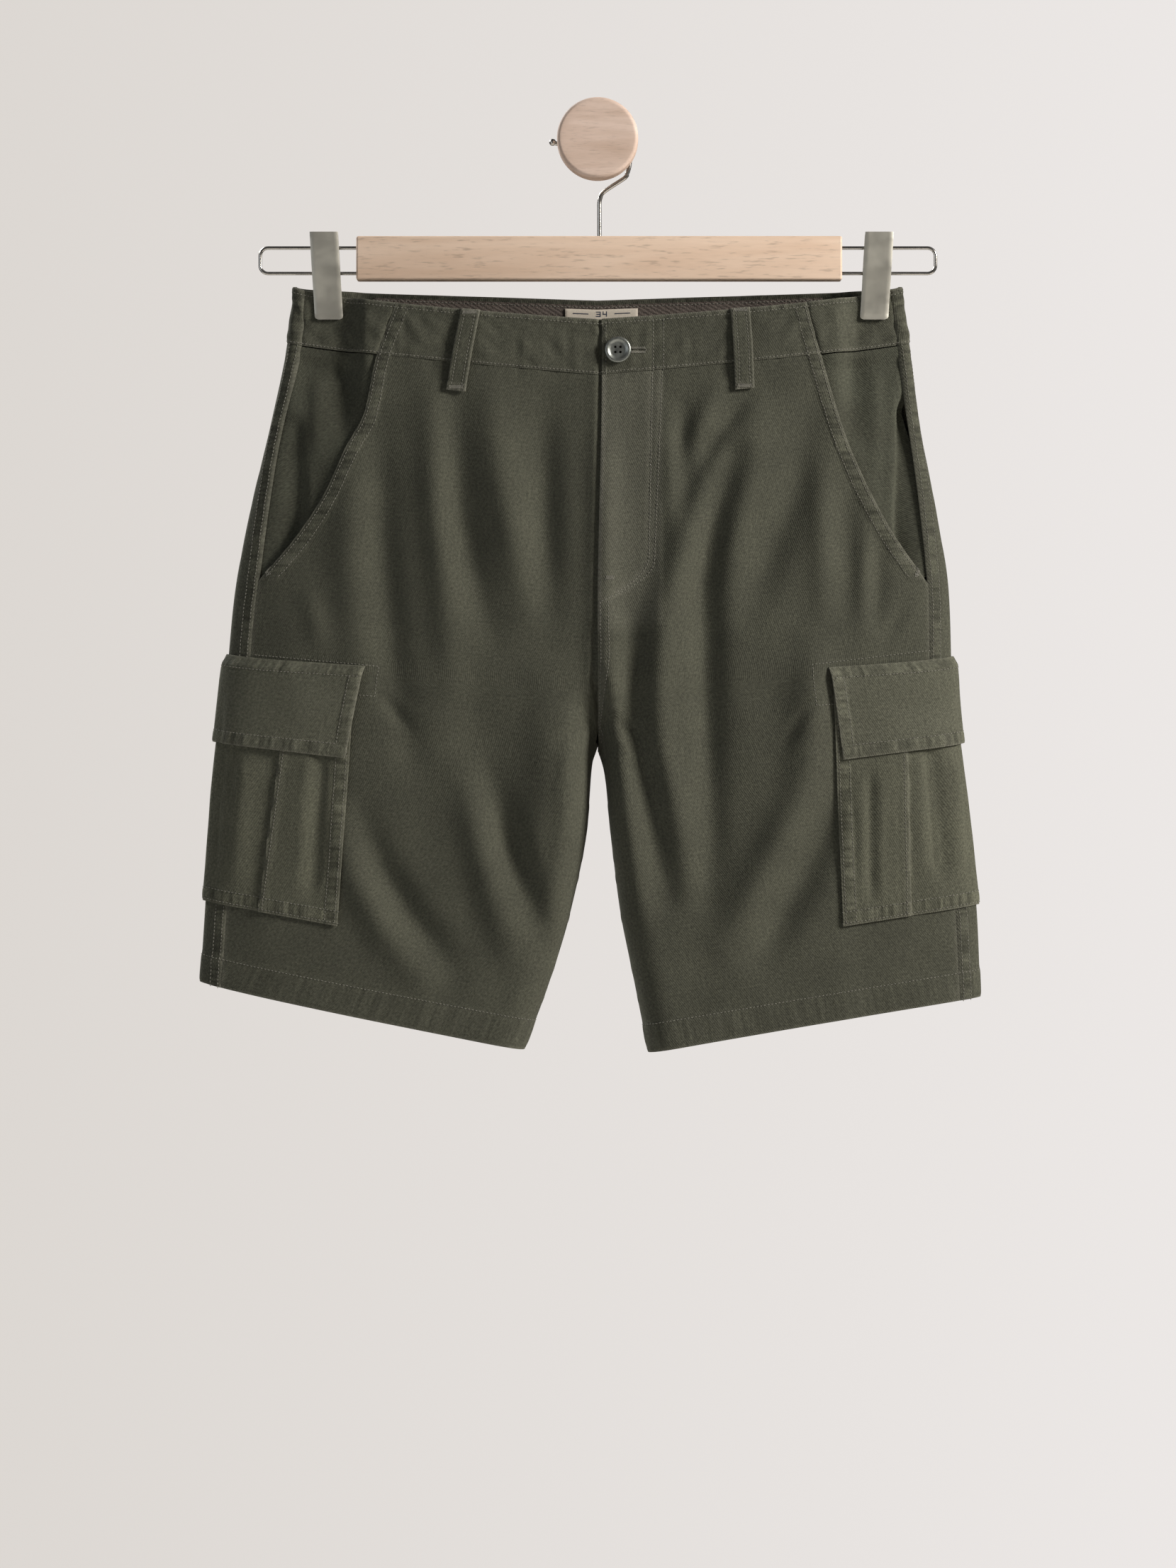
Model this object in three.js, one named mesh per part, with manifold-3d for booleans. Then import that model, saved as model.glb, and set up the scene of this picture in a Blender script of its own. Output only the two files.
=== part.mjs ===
// Cargo shorts hung from a clip hanger on a wooden wall knob. Millimetres: X across, Y into the wall, Z up.
// The origin is the centre of the knob stem's flat back face. "Right" and "left" are the wearer's:
// right is -X.
import * as THREE from "three";
import { mergeVertices } from "three/addons/utils/BufferGeometryUtils.js";
import Module from "manifold-3d";

// A table's rows as objects, from the names of its columns.
function withColumns(names, rows) {
  return rows.map((row) => Object.fromEntries(names.map((name, i) => [name, row[i]])));
}

// Cloth
const MID_Y = -28; // the plane that front and back hang on each side of
const CLOTH_WALL = 1.5;
const SEAM_GAP = 0.3;
const BAND_PROUD = 0.8; // the waistband stands this far out of the panels
const BAND_WALL = 2.6;
const BAND_TOP = -107; // row heights are those at the silhouette
const BAND_SEAM = -149;
const POCKET_END_Z = -326; // where the slant pocket's edge meets the side seam
const FLY_EDGE_X = 3; // fold edge of the fly at the waist, on the wearer's left
const FLY_END_Z = -343;
const FLY_FADE = 25; // the fold edge reaches the middle over this height
const SHIELD = { halfWidth: 20, bottom: FLY_END_Z + 40 };
const HEM_DEPTH = 22;
const HEM_EXTRA = 1; // the turned-up hem is this much thicker inside
const SIDE_ROUND = 4; // exponent of the section's rounding at the silhouette
const CROTCH_ROUND = 24; // width over which a leg's section closes at its inner edge
const CROTCH_BEND = 2.2; // exponent of that closing
const BACK_FALL_BEND = 0.9;
const FACING_DROP = 2.2; // the facing lies this far under the front panel's face
const FACING_TUCK = 8;
const FACING_UNDER_BACK = 4;
const FACING_SHORT = 2; // it ends this far above the pocket's end
const POCKET_GAPE = { depth: 3, z: -275, spread: 42 };
const GRIP = { width: 24, half: 3.2, top: -132, fade: 105, edge: 6 }; // cloth pressed flat by a clip
const UNDER_GAP = 0.9; // between layers whose grids differ
const FOLD_END = 0.35; // share of a fold's height that is left at its two ends

// Trim
const LOOP = { width: 14, wall: 1.8, bulge: 2.2, belowTop: 0.4 };
const TAPE = { halfWidth: 168, top: -110.5, bottom: -146, wall: 1 };
const LABEL = { fromX: -24, toX: 30, top: -113.5, bottom: -140, wall: 0.8 };
const BUTTON = { x: 15, z: -156, radius: 9.8, height: 3, holeRadius: 0.95, holeSpacing: 1.9, seat: 0.8 };
const BUTTON_PROFILE = [ // shares of its radius and height, from the back's middle round the rim
  { r: 0, y: 0 }, { r: 0.7, y: 0 }, { r: 1, y: 0.4 }, { r: 1, y: 0.75 }, { r: 0.93, y: 1 },
  { r: 0.78, y: 1 }, { r: 0.66, y: 0.72 }, { r: 0, y: 0.66 },
];

// Hanger and knob
const BAR = { fromX: -179.4, toX: 181.8, top: -69.8, bottom: -102.4, depth: 14, round: 2.5, bevel: 0.8 };
const WIRE_Z = [-78, -97];
const WIRE_RADIUS = 1.3;
const LOOP_END_X = { right: -252.6, left: 253 };
const LOOP_CORNER = 6;
const HOOK = {
  radius: 1.6, x: 1.4, bendZ: -40.7, neck: [[0, -4], [0.7, 0], [3.4, 4.6]],
  arcZ: -13, arcRadius: 24, arcFrom: -32, arcTo: 152, tip: [-33.4, 0.7], nearTip: [-27.9, -0.9], ball: 2.6,
};
const CLIP = { width: 21, plate: 1.4 };
const CLIP_FACE = [ // a jaw's inner face from top to bottom; y: distance from the middle plane
  { y: 7.7, z: -67 }, { y: 8.3, z: -72 }, { y: 8.3, z: -93 }, { y: 6.2, z: -107 },
  { y: 4.6, z: -120 }, { y: 4.6, z: -128 }, { y: 5.4, z: -132 },
];
const CLIP_X = { right: -201.5, left: 207.5 };
const SPRING = { // it sits between the end loop's two wires
  radius: (WIRE_Z[0] - WIRE_Z[1]) / 2 - WIRE_RADIUS - SEAM_GAP, z: (WIRE_Z[0] + WIRE_Z[1]) / 2, length: 15,
};
const KNOB = { radius: 30, front: -57, back: -38, edge: 3, cut: 0.9 };
const STEM_RADIUS = 9;

// Sections of each leg, from the waist's top edge to the hem.
// z: height at the silhouette. outer, inner: half widths from the centre; a negative inner lies across the
// centre, so the section is open there. fallFront, fallBack: how much lower the row lies at the centre or the
// inner edge. bend: how that fall spreads. front, back: depth each side of MID_Y. seamIn: the side seam's
// distance from the silhouette, on the front.
const SECTION_COLUMNS = ["z", "outer", "inner", "fallFront", "fallBack", "bend", "front", "back", "seamIn"];
const RIGHT_ROWS = withColumns(SECTION_COLUMNS, [
  [-107, 226, -95, 26, 9, 0.55, 18, 12, 8],
  [-149, 231, -95, 25.3, 13, 0.75, 20, 14, 10.5],
  [-212, 244, -90, 24, 20, 0.9, 23, 16, 9],
  [-275, 259, -75, 23, 31, 1, 25, 17, 13.5],
  [-338, 270.5, -44, 22, 48, 1, 25, 17, 17],
  [-401, 276.5, 3, 22, 84, 1, 24, 16, 17],
  [-463, 283.5, 7.4, 40, 46, 1, 23, 15, 17],
  [-527, 289.5, 20.3, 46, 46, 1, 22, 14.5, 17],
  [-580, 293, 37, 48, 48, 0.95, 21.5, 14, 17],
  [-624, 296.1, 54.6, 50.6, 50.6, 0.92, 21, 14, 17],
]);
const LEFT_ROWS = withColumns(SECTION_COLUMNS, [
  [-107, 226, -95, 26, 9, 0.55, 18, 12, 8],
  [-149, 232, -95, 25.3, 13, 0.75, 20, 14, 8.5],
  [-212, 240.5, -90, 24, 20, 0.9, 23, 16, 8.5],
  [-275, 252.5, -75, 23, 31, 1, 25, 17, 12],
  [-338, 262, -44, 22, 48, 1, 25, 17, 16],
  [-401, 264, 3, 22, 84, 1, 24, 16, 17],
  [-463, 270.5, 9, 40, 46, 1, 23, 15, 17],
  [-527, 278.5, 16.5, 41, 44, 1, 22, 14.5, 17],
  [-580, 283, 26.8, 41, 42, 1, 21.5, 14, 16.5],
  [-635.3, 285.1, 37.8, 41.4, 41.4, 1.05, 21, 14, 16.3],
]);

// The slant pocket's edge on each side: distance x from the centre at height z.
const POCKET_EDGE = {
  right: [
    { z: -119, x: 149 }, { z: -160, x: 164 }, { z: -202, x: 173 }, { z: -226.5, x: 186 },
    { z: -263, x: 203 }, { z: -294.5, x: 224 }, { z: POCKET_END_Z, x: 251.5 },
  ],
  left: [
    { z: -119, x: 155 }, { z: -160, x: 166 }, { z: -219, x: 184 }, { z: -254, x: 199 },
    { z: -291, x: 219 }, { z: POCKET_END_Z, x: 243.5 },
  ],
};

// Folds as soft ridges (height above zero) and troughs (below), each along a short line of [x, z] points.
const FRONT_FOLDS = [
  { line: [[-183, -235], [-184, -310], [-176, -385]], width: 14, height: 2.6 },
  { line: [[-161, -205], [-160, -300], [-150, -400], [-140, -455]], width: 13, height: -3.4 },
  { line: [[-122, -195], [-120, -270], [-113, -330], [-107, -405]], width: 13, height: 3.6 },
  { line: [[-108, -200], [-101, -285], [-90, -330], [-78, -372]], width: 12, height: -3 },
  { line: [[-78, -195], [-72, -250], [-62, -300], [-52, -345]], width: 14, height: 3.4 },
  { line: [[-39, -195], [-39, -280], [-37, -345]], width: 13, height: -4 },
  { line: [[-97, -470], [-88, -520], [-77, -562], [-64, -602]], width: 13, height: 4 },
  { line: [[-79, -475], [-64, -520], [-50, -562], [-38, -600]], width: 12, height: -4.2 },
  { line: [[-20, -430], [-20, -500], [-30, -570]], width: 10, height: 3 },
  { line: [[-190, -500], [-180, -547], [-158, -586], [-130, -622]], width: 13, height: 3.4 },
  { line: [[-176, -500], [-160, -541], [-136, -578], [-108, -614]], width: 12, height: -3.6 },
  { line: [[5, -185], [5, -300], [6, -420]], width: 11, height: 3 },
  { line: [[52, -205], [52, -285]], width: 8, height: 1.6 },
  { line: [[64, -200], [65, -275]], width: 8, height: -2.2 },
  { line: [[88, -186], [70, -222], [60, -255]], width: 8, height: 2.2 },
  { line: [[110, -192], [86, -224], [72, -252]], width: 7, height: -2.4 },
  { line: [[92, -222], [78, -256], [64, -300], [50, -345],
    [45, -400], [47, -450], [57, -500], [68, -548]], width: 13, height: 4.6 },
  { line: [[101, -235], [88, -275], [81, -330], [81, -400],
    [83, -470], [84, -520], [80, -560]], width: 12, height: -4.8 },
  { line: [[11, -360], [9, -430], [14, -475], [22, -525], [30, -575]], width: 10, height: 4 },
  { line: [[30, -365], [26, -430], [38, -478], [46, -520], [52, -562]], width: 10, height: -3.6 },
  { line: [[118, -205], [110, -258], [98, -302], [91, -340]], width: 13, height: 3.2 },
  { line: [[158, -198], [148, -255], [130, -305], [112, -350]], width: 14, height: -3.6 },
  { line: [[166, -245], [166, -350]], width: 10, height: 2.2 },
  { line: [[186, -250], [185, -345]], width: 10, height: -2.2 },
  { line: [[160, -380], [160, -460]], width: 16, height: 3 },
  { line: [[160, -465], [138, -510], [115, -556], [93, -594]], width: 14, height: 4.4 },
  { line: [[180, -482], [165, -522], [141, -570], [120, -606]], width: 13, height: -4.2 },
];
const BACK_FOLDS = [
  { line: [[-150, -200], [-130, -320], [-100, -420]], width: 20, height: 3.2 },
  { line: [[-110, -190], [-90, -310], [-62, -410]], width: 18, height: -3 },
  { line: [[-60, -180], [-50, -280], [-30, -370]], width: 18, height: 3 },
  { line: [[140, -200], [125, -320], [98, -425]], width: 20, height: 3.4 },
  { line: [[96, -190], [84, -310], [60, -410]], width: 18, height: -3 },
  { line: [[50, -185], [44, -280], [28, -370]], width: 17, height: 2.8 },
  { line: [[-70, -470], [-100, -560], [-150, -640]], width: 18, height: 3.4 },
  { line: [[-110, -455], [-150, -540], [-190, -600]], width: 18, height: -3 },
  { line: [[62, -470], [92, -560], [140, -640]], width: 18, height: 3.2 },
  { line: [[104, -455], [146, -540], [184, -605]], width: 18, height: -3 },
];

// A cargo pocket and its flap, from top to bottom. frontTop, frontBottom: distance of the front edge from the
// centre. backReach: how far it goes on the back from the silhouette. pleat: the fold's place across.
const CARGO = {
  right: {
    top: -391, bottom: -563.5, frontTop: 180, frontBottom: 193, backReach: 66, bulge: 2.4, pleat: 0.43,
    flapTop: -380.5, flapBottom: -445.5, flapFrontTop: 173, flapFrontBottom: 187,
  },
  left: {
    top: -392.5, bottom: -566.5, frontTop: 174.5, frontBottom: 182, backReach: 66, bulge: 3.1, pleat: 0.46,
    flapTop: -382, flapBottom: -446.5, flapFrontTop: 172, flapFrontBottom: 182,
  },
};
// edge: how far its edge stands out; puffStart: how full its puff is at the top; flatTurn: the share of a
// quarter turn over which the puff fades to nothing at the silhouette
const POCKET = { edge: 0.6, puffStart: 0.25, flatTurn: 0.3 };
const FLAP = { rise: 8, edge: 0.5, rowBend: 1.5, reach: 3, clear: 1.2 }; // below this rise, it lies on the pocket
const PLEAT = { depth: 2.2, width: 0.045, from: 0.3, to: 0.8, hemShare: 0.5 };
const BELT_LOOPS = [
  { name: "belt_loop_front_right", back: false, topX: -94, bottomX: -105, bottom: -171 },
  { name: "belt_loop_front_left", back: false, topX: 105.7, bottomX: 109, bottom: -170 },
  { name: "belt_loop_back_right", back: true, topX: -118, bottomX: -122, bottom: -166 },
  { name: "belt_loop_back_centre", back: true, topX: 0, bottomX: 0, bottom: -166 },
  { name: "belt_loop_back_left", back: true, topX: 118, bottomX: 122, bottom: -166 },
];

// Columns and rows of each piece's grid.
const GRID = {
  front: [20, 28], back: [20, 24], facing: [5, 10], bandFront: [9, 2], bandSide: [8, 2], bandBack: [48, 2],
  shield: [8, 14], pocket: [18, 8], flap: [16, 4], loop: [2, 6], tape: [16, 1], label: [3, 1],
};

const FINISHES = {
  cloth: { color: 0x45443b, roughness: 0.92, metalness: 0 },
  facing: { color: 0x3e3d35, roughness: 0.95, metalness: 0 },
  tape: { color: 0x4f4942, roughness: 0.95, metalness: 0 },
  label: { color: 0xc9c1b3, roughness: 0.9, metalness: 0 },
  button: { color: 0x848883, roughness: 0.4, metalness: 0.8 },
  wood: { color: 0xd0b49c, roughness: 0.6, metalness: 0 },
  knob: { color: 0xc3aa99, roughness: 0.6, metalness: 0 },
  steel: { color: 0x8d897d, roughness: 0.35, metalness: 1 },
};

// A smooth curve through one column of a table that is ordered downwards, without overshoot.
function columnCurve(rows, key) {
  const heights = rows.map((row) => -row.z);
  const values = rows.map((row) => row[key]);
  const last = rows.length - 1;
  const slopes = values.slice(1).map((value, i) => (value - values[i]) / (heights[i + 1] - heights[i]));
  const tangents = values.map((_, i) => {
    if (i === 0) return slopes[0];
    if (i === last) return slopes[last - 1];
    const before = slopes[i - 1], after = slopes[i];
    return before * after <= 0 ? 0 : (2 * before * after) / (before + after);
  });
  return (z) => {
    const height = THREE.MathUtils.clamp(-z, heights[0], heights[last]);
    let i = 0;
    while (i < last - 1 && height > heights[i + 1]) i++;
    const span = heights[i + 1] - heights[i];
    const t = (height - heights[i]) / span;
    const rise = values[i + 1] - values[i];
    const start = tangents[i] * span, end = tangents[i + 1] * span;
    return values[i] + start * t + (3 * rise - 2 * start - end) * t ** 2 + (start + end - 2 * rise) * t ** 3;
  };
}

function legOf(name, side, rows) {
  const leg = { name, side, hem: rows[rows.length - 1].z };
  for (const key of ["outer", "inner", "fallFront", "fallBack", "bend", "front", "back", "seamIn"])
    leg[key] = columnCurve(rows, key);
  leg.pocketEdge = columnCurve(POCKET_EDGE[name], "x");
  return leg;
}
const RIGHT = legOf("right", -1, RIGHT_ROWS);
const LEFT = legOf("left", 1, LEFT_ROWS);
const LEGS = [RIGHT, LEFT];

// Height of all folds at a point of the front or the back.
function foldHeight(folds, x, z) {
  let height = 0;
  for (const fold of folds) {
    let nearest = Infinity, along = 0, length = 0;
    const pieces = fold.line.slice(1).map((end, i) => [fold.line[i], end]);
    const total = pieces.reduce((sum, [a, b]) => sum + Math.hypot(b[0] - a[0], b[1] - a[1]), 0);
    for (const [a, b] of pieces) {
      const dx = b[0] - a[0], dz = b[1] - a[1], part = Math.hypot(dx, dz);
      const t = THREE.MathUtils.clamp(((x - a[0]) * dx + (z - a[1]) * dz) / (part * part), 0, 1);
      const away = Math.hypot(x - a[0] - dx * t, z - a[1] - dz * t);
      if (away < nearest) {
        nearest = away;
        along = (length + part * t) / total;
      }
      length += part;
    }
    const taper = FOLD_END + (1 - FOLD_END) * Math.sin(Math.PI * along);
    height += fold.height * taper * Math.exp(-((nearest / fold.width) ** 2));
  }
  return height;
}

// How far a clip presses the cloth flat, from 0 to 1.
function gripAt(side, x, z) {
  const away = Math.abs(side * x - (side < 0 ? CLIP_X.right : CLIP_X.left));
  const fade = THREE.MathUtils.smoothstep(z, GRIP.top - GRIP.fade, GRIP.top);
  return fade * Math.exp(-((away / GRIP.width) ** GRIP.edge));
}

// A point of the garment. round: 0 the inner edge in front, 1 the silhouette, 2 the inner edge behind;
// row: the height at the silhouette; out: distance outside the panels' face.
function clothPoint(leg, round, row, out) {
  const outer = leg.outer(row) + out, inner = leg.inner(row) - out;
  const across = Math.sin((round * Math.PI) / 2);
  const x = inner + (outer - inner) * across;
  const inFront = round < 1;
  const close = 1 - Math.min(1, Math.max(0, (x - inner) / CROTCH_ROUND));
  const fullness = Math.sqrt(Math.max(0, 1 - across ** SIDE_ROUND) * Math.max(0, 1 - close ** CROTCH_BEND));
  const toBack = 0.5 + (inFront ? -0.5 : 0.5) * fullness;
  const inward = Math.max(0, (outer - x) / (outer - Math.max(inner, 0)));
  const fall = (1 - toBack) * leg.fallFront(row) * inward ** leg.bend(row)
    + toBack * leg.fallBack(row) * inward ** BACK_FALL_BEND;
  const z = row - fall;
  const grip = gripAt(leg.side, x, z);
  const free = ((inFront ? leg.front(row) : leg.back(row)) + out) * fullness;
  const held = (GRIP.half + out) * (1 - (1 - fullness) ** GRIP.edge);
  const folds = foldHeight(inFront ? FRONT_FOLDS : BACK_FOLDS, leg.side * x, z) * fullness * (1 - grip);
  const half = free * (1 - grip) + held * grip + folds + (SEAM_GAP / 2) * (1 - across);
  return new THREE.Vector3(leg.side * x, MID_Y + (inFront ? -half : half), z);
}

// The place round the leg of a point at distance x from the centre, on the front or the back.
function roundAt(leg, x, row, out, onBack = false) {
  const outer = leg.outer(row) + out, inner = leg.inner(row) - out;
  const place = (2 / Math.PI) * Math.asin(THREE.MathUtils.clamp((x - inner) / (outer - inner), 0, 1));
  return onBack ? 2 - place : place;
}

// A point of the whole front or back, by its signed x.
function facePoint(x, row, out, onBack) {
  const leg = x < 0 ? RIGHT : LEFT;
  return clothPoint(leg, roundAt(leg, Math.abs(x), row, out, onBack), row, out);
}

// The row that passes through height z at x on the front.
function rowAt(x, z) {
  let row = z;
  for (let i = 0; i < 12; i++) row += z - facePoint(x, row, 0, false).z;
  return row;
}

// Distance from the centre of the pocket's edge on a row, until it meets the side seam.
function pocketEdgeX(leg, row) {
  const seam = sideSeamX(leg, row);
  if (facePoint(leg.side * seam, row, 0, false).z <= POCKET_END_Z) return seam;
  let x = leg.pocketEdge(row);
  for (let i = 0; i < 8; i++) x = leg.pocketEdge(facePoint(leg.side * x, row, 0, false).z);
  return Math.min(x, seam);
}

function sideSeamX(leg, row) {
  return leg.outer(row) - leg.seamIn(row);
}

// Signed x of the centre front: the fly's fold edge at the waist, the middle at the crotch.
function centreX(row) {
  return FLY_EDGE_X * THREE.MathUtils.smoothstep(row, FLY_END_Z + FLY_FADE, BAND_SEAM);
}

// Where a leg's front or back begins at the centre, as a distance, with its share of the seam's gap.
function centreStart(leg, row, onBack) {
  return (onBack ? 0 : leg.side * centreX(row)) + SEAM_GAP / 2;
}

// A closed wall from two grids of points: pointAt(across, down, layer) gives the face for layer 0 and the
// inside for layer 1.
function wall([columns, rows], pointAt) {
  const positions = [];
  const index = [];
  const place = (layer, i, j) => (layer * (rows + 1) + j) * (columns + 1) + i;
  for (const layer of [0, 1])
    for (let j = 0; j <= rows; j++)
      for (let i = 0; i <= columns; i++) positions.push(...pointAt(i / columns, j / rows, layer).toArray());
  const quad = (a, b, c, d) => index.push(a, b, c, a, c, d);
  for (let j = 0; j < rows; j++)
    for (let i = 0; i < columns; i++) {
      quad(place(0, i, j), place(0, i, j + 1), place(0, i + 1, j + 1), place(0, i + 1, j));
      quad(place(1, i, j), place(1, i + 1, j), place(1, i + 1, j + 1), place(1, i, j + 1));
    }
  for (let i = 0; i < columns; i++) {
    quad(place(0, i, 0), place(0, i + 1, 0), place(1, i + 1, 0), place(1, i, 0));
    quad(place(0, i + 1, rows), place(0, i, rows), place(1, i, rows), place(1, i + 1, rows));
  }
  for (let j = 0; j < rows; j++) {
    quad(place(0, 0, j + 1), place(0, 0, j), place(1, 0, j), place(1, 0, j + 1));
    quad(place(0, columns, j), place(0, columns, j + 1), place(1, columns, j + 1), place(1, columns, j));
  }
  return outward(positions, index);
}

// A geometry whose faces point out, whichever way its grid runs.
function outward(positions, index) {
  let volume = 0;
  const a = new THREE.Vector3(), b = new THREE.Vector3(), c = new THREE.Vector3();
  for (let i = 0; i < index.length; i += 3) {
    a.fromArray(positions, index[i] * 3);
    b.fromArray(positions, index[i + 1] * 3);
    c.fromArray(positions, index[i + 2] * 3);
    volume += a.dot(b.cross(c));
  }
  if (volume < 0)
    for (let i = 0; i < index.length; i += 3) [index[i + 1], index[i + 2]] = [index[i + 2], index[i + 1]];
  const geometry = new THREE.BufferGeometry();
  geometry.setAttribute("position", new THREE.Float32BufferAttribute(positions, 3));
  geometry.setIndex(index);
  geometry.computeVertexNormals();
  return geometry;
}

const object = new THREE.Group();
function addPiece(name, finish, geometry) {
  const mesh = new THREE.Mesh(geometry, new THREE.MeshStandardMaterial(FINISHES[finish]));
  mesh.name = name;
  object.add(mesh);
}

const mix = THREE.MathUtils.lerp;

// Front panels: from the centre front or inseam to the pocket's edge, and below that to the side seam.
function frontPanel(leg) {
  return wall(GRID.front, (across, down, layer) => {
    const row = mix(BAND_SEAM - SEAM_GAP, leg.hem, down);
    const hemmed = row < leg.hem + HEM_DEPTH;
    const out = layer ? -CLOTH_WALL - (hemmed ? HEM_EXTRA : 0) : 0;
    const start = roundAt(leg, centreStart(leg, row, false), row, out);
    const end = roundAt(leg, pocketEdgeX(leg, row) - SEAM_GAP / 2, row, out);
    return clothPoint(leg, mix(start, end, across), row, out);
  });
}

// Back panels: from the side seam on the front, round the silhouette, to the centre back or inseam.
function backPanel(leg) {
  return wall(GRID.back, (across, down, layer) => {
    const row = mix(BAND_SEAM - SEAM_GAP, leg.hem, down);
    const hemmed = row < leg.hem + HEM_DEPTH;
    const out = layer ? -CLOTH_WALL - (hemmed ? HEM_EXTRA : 0) : 0;
    const start = roundAt(leg, sideSeamX(leg, row) + SEAM_GAP / 2, row, out);
    const end = roundAt(leg, centreStart(leg, row, true), row, out, true);
    return clothPoint(leg, mix(start, end, across), row, out);
  });
}

// Pocket facings: recessed cloth behind the slant pocket's mouth, tucked under both panels.
function pocketFacing(leg) {
  const end = rowAt(leg.side * leg.pocketEdge(POCKET_END_Z), POCKET_END_Z + FACING_SHORT);
  return wall(GRID.facing, (across, down, layer) => {
    const row = mix(BAND_SEAM - UNDER_GAP, end, down);
    const gape = POCKET_GAPE.depth * Math.exp(-(((row - POCKET_GAPE.z) / POCKET_GAPE.spread) ** 2))
      * Math.sin(Math.PI * across) ** 2;
    const out = -FACING_DROP - gape - (layer ? CLOTH_WALL : 0);
    const start = roundAt(leg, pocketEdgeX(leg, row) - FACING_TUCK, row, out);
    const finish = roundAt(leg, sideSeamX(leg, row) + FACING_UNDER_BACK, row, out);
    return clothPoint(leg, mix(start, finish, across), row, out);
  });
}

// Waistband: front sections to the pocket's edge, side sections to the side seam, and one back section.
function bandOut(layer) {
  return layer ? BAND_PROUD - BAND_WALL : BAND_PROUD;
}
function bandFront(leg) {
  return wall(GRID.bandFront, (across, down, layer) => {
    const row = mix(BAND_TOP, BAND_SEAM, down), out = bandOut(layer);
    const start = roundAt(leg, centreStart(leg, BAND_SEAM, false), row, out);
    const end = roundAt(leg, pocketEdgeX(leg, row) - SEAM_GAP / 2, row, out);
    return clothPoint(leg, mix(start, end, across), row, out);
  });
}
function bandSide(leg) {
  return wall(GRID.bandSide, (across, down, layer) => {
    const row = mix(BAND_TOP, BAND_SEAM, down), out = bandOut(layer);
    const start = roundAt(leg, pocketEdgeX(leg, row) + SEAM_GAP / 2, row, out);
    const end = roundAt(leg, sideSeamX(leg, row) - SEAM_GAP / 2, row, out);
    return clothPoint(leg, mix(start, end, across), row, out);
  });
}
function bandBack() {
  return wall(GRID.bandBack, (across, down, layer) => {
    const row = mix(BAND_TOP, BAND_SEAM, down), out = bandOut(layer);
    const leg = across < 0.5 ? RIGHT : LEFT;
    const start = roundAt(leg, sideSeamX(leg, row) + SEAM_GAP / 2, row, out);
    const middle = roundAt(leg, 0, row, out, true);
    return clothPoint(leg, mix(start, middle, 1 - Math.abs(2 * across - 1)), row, out);
  });
}

// Fly shield: the strip behind the fly's opening.
function flyShield() {
  return wall(GRID.shield, (across, down, layer) => {
    const row = mix(BAND_SEAM - SEAM_GAP, SHIELD.bottom, down);
    const out = -CLOTH_WALL - UNDER_GAP - (layer ? CLOTH_WALL : 0);
    return facePoint(centreX(row) + mix(-SHIELD.halfWidth, SHIELD.halfWidth, across), row, out, false);
  });
}

// How far the cargo pocket's face stands out of the leg: thick at its edge, puffed on its front, with a pleat.
function pocketLift(leg, across, down) {
  const cargo = CARGO[leg.name];
  const row = mix(cargo.top, cargo.bottom, down);
  const start = roundAt(leg, mix(cargo.frontTop, cargo.frontBottom, down), row, 0);
  const end = roundAt(leg, leg.outer(row) - cargo.backReach, row, 0, true);
  const fade = THREE.MathUtils.smoothstep(Math.abs(mix(start, end, across) - 1), 0, POCKET.flatTurn);
  const height = POCKET.puffStart + (1 - POCKET.puffStart) * down;
  const puff = cargo.bulge * fade * Math.sin(Math.PI * across) * Math.sin(Math.PI * Math.min(1, height));
  const opening = THREE.MathUtils.smoothstep(down, 0, PLEAT.from)
    * (1 - PLEAT.hemShare * THREE.MathUtils.smoothstep(down, PLEAT.to, 1));
  const pleat = PLEAT.depth * opening * Math.exp(-(((across - cargo.pleat) / PLEAT.width) ** 2));
  return Math.max(SEAM_GAP, SEAM_GAP + POCKET.edge + puff - pleat * Math.sin(Math.PI * across));
}
function cargoPocket(leg) {
  const cargo = CARGO[leg.name];
  return wall(GRID.pocket, (across, down, layer) => {
    const row = mix(cargo.top, cargo.bottom, down);
    const out = pocketLift(leg, across, down) + (layer ? 0 : CLOTH_WALL);
    const start = roundAt(leg, mix(cargo.frontTop, cargo.frontBottom, down), row, out);
    const end = roundAt(leg, leg.outer(row) - cargo.backReach, row, out, true);
    return clothPoint(leg, mix(start, end, across), row, out);
  });
}
function cargoFlap(leg) {
  const cargo = CARGO[leg.name];
  return wall(GRID.flap, (across, down, layer) => {
    const row = mix(cargo.flapTop, cargo.flapBottom, down ** FLAP.rowBend);
    const under = THREE.MathUtils.clamp((cargo.top - row) / (cargo.top - cargo.bottom), 0, 1);
    const onPocket = pocketLift(leg, across, under) + CLOTH_WALL + FLAP.clear;
    const risen = THREE.MathUtils.smoothstep(-row, -cargo.flapTop, FLAP.rise - cargo.flapTop);
    const out = mix(FLAP.edge, onPocket, risen) + (layer ? 0 : CLOTH_WALL);
    const start = roundAt(leg, mix(cargo.flapFrontTop, cargo.flapFrontBottom, down), row, out);
    const end = roundAt(leg, leg.outer(row) - cargo.backReach - FLAP.reach, row, out, true);
    return clothPoint(leg, mix(start, end, across), row, out);
  });
}

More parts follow.
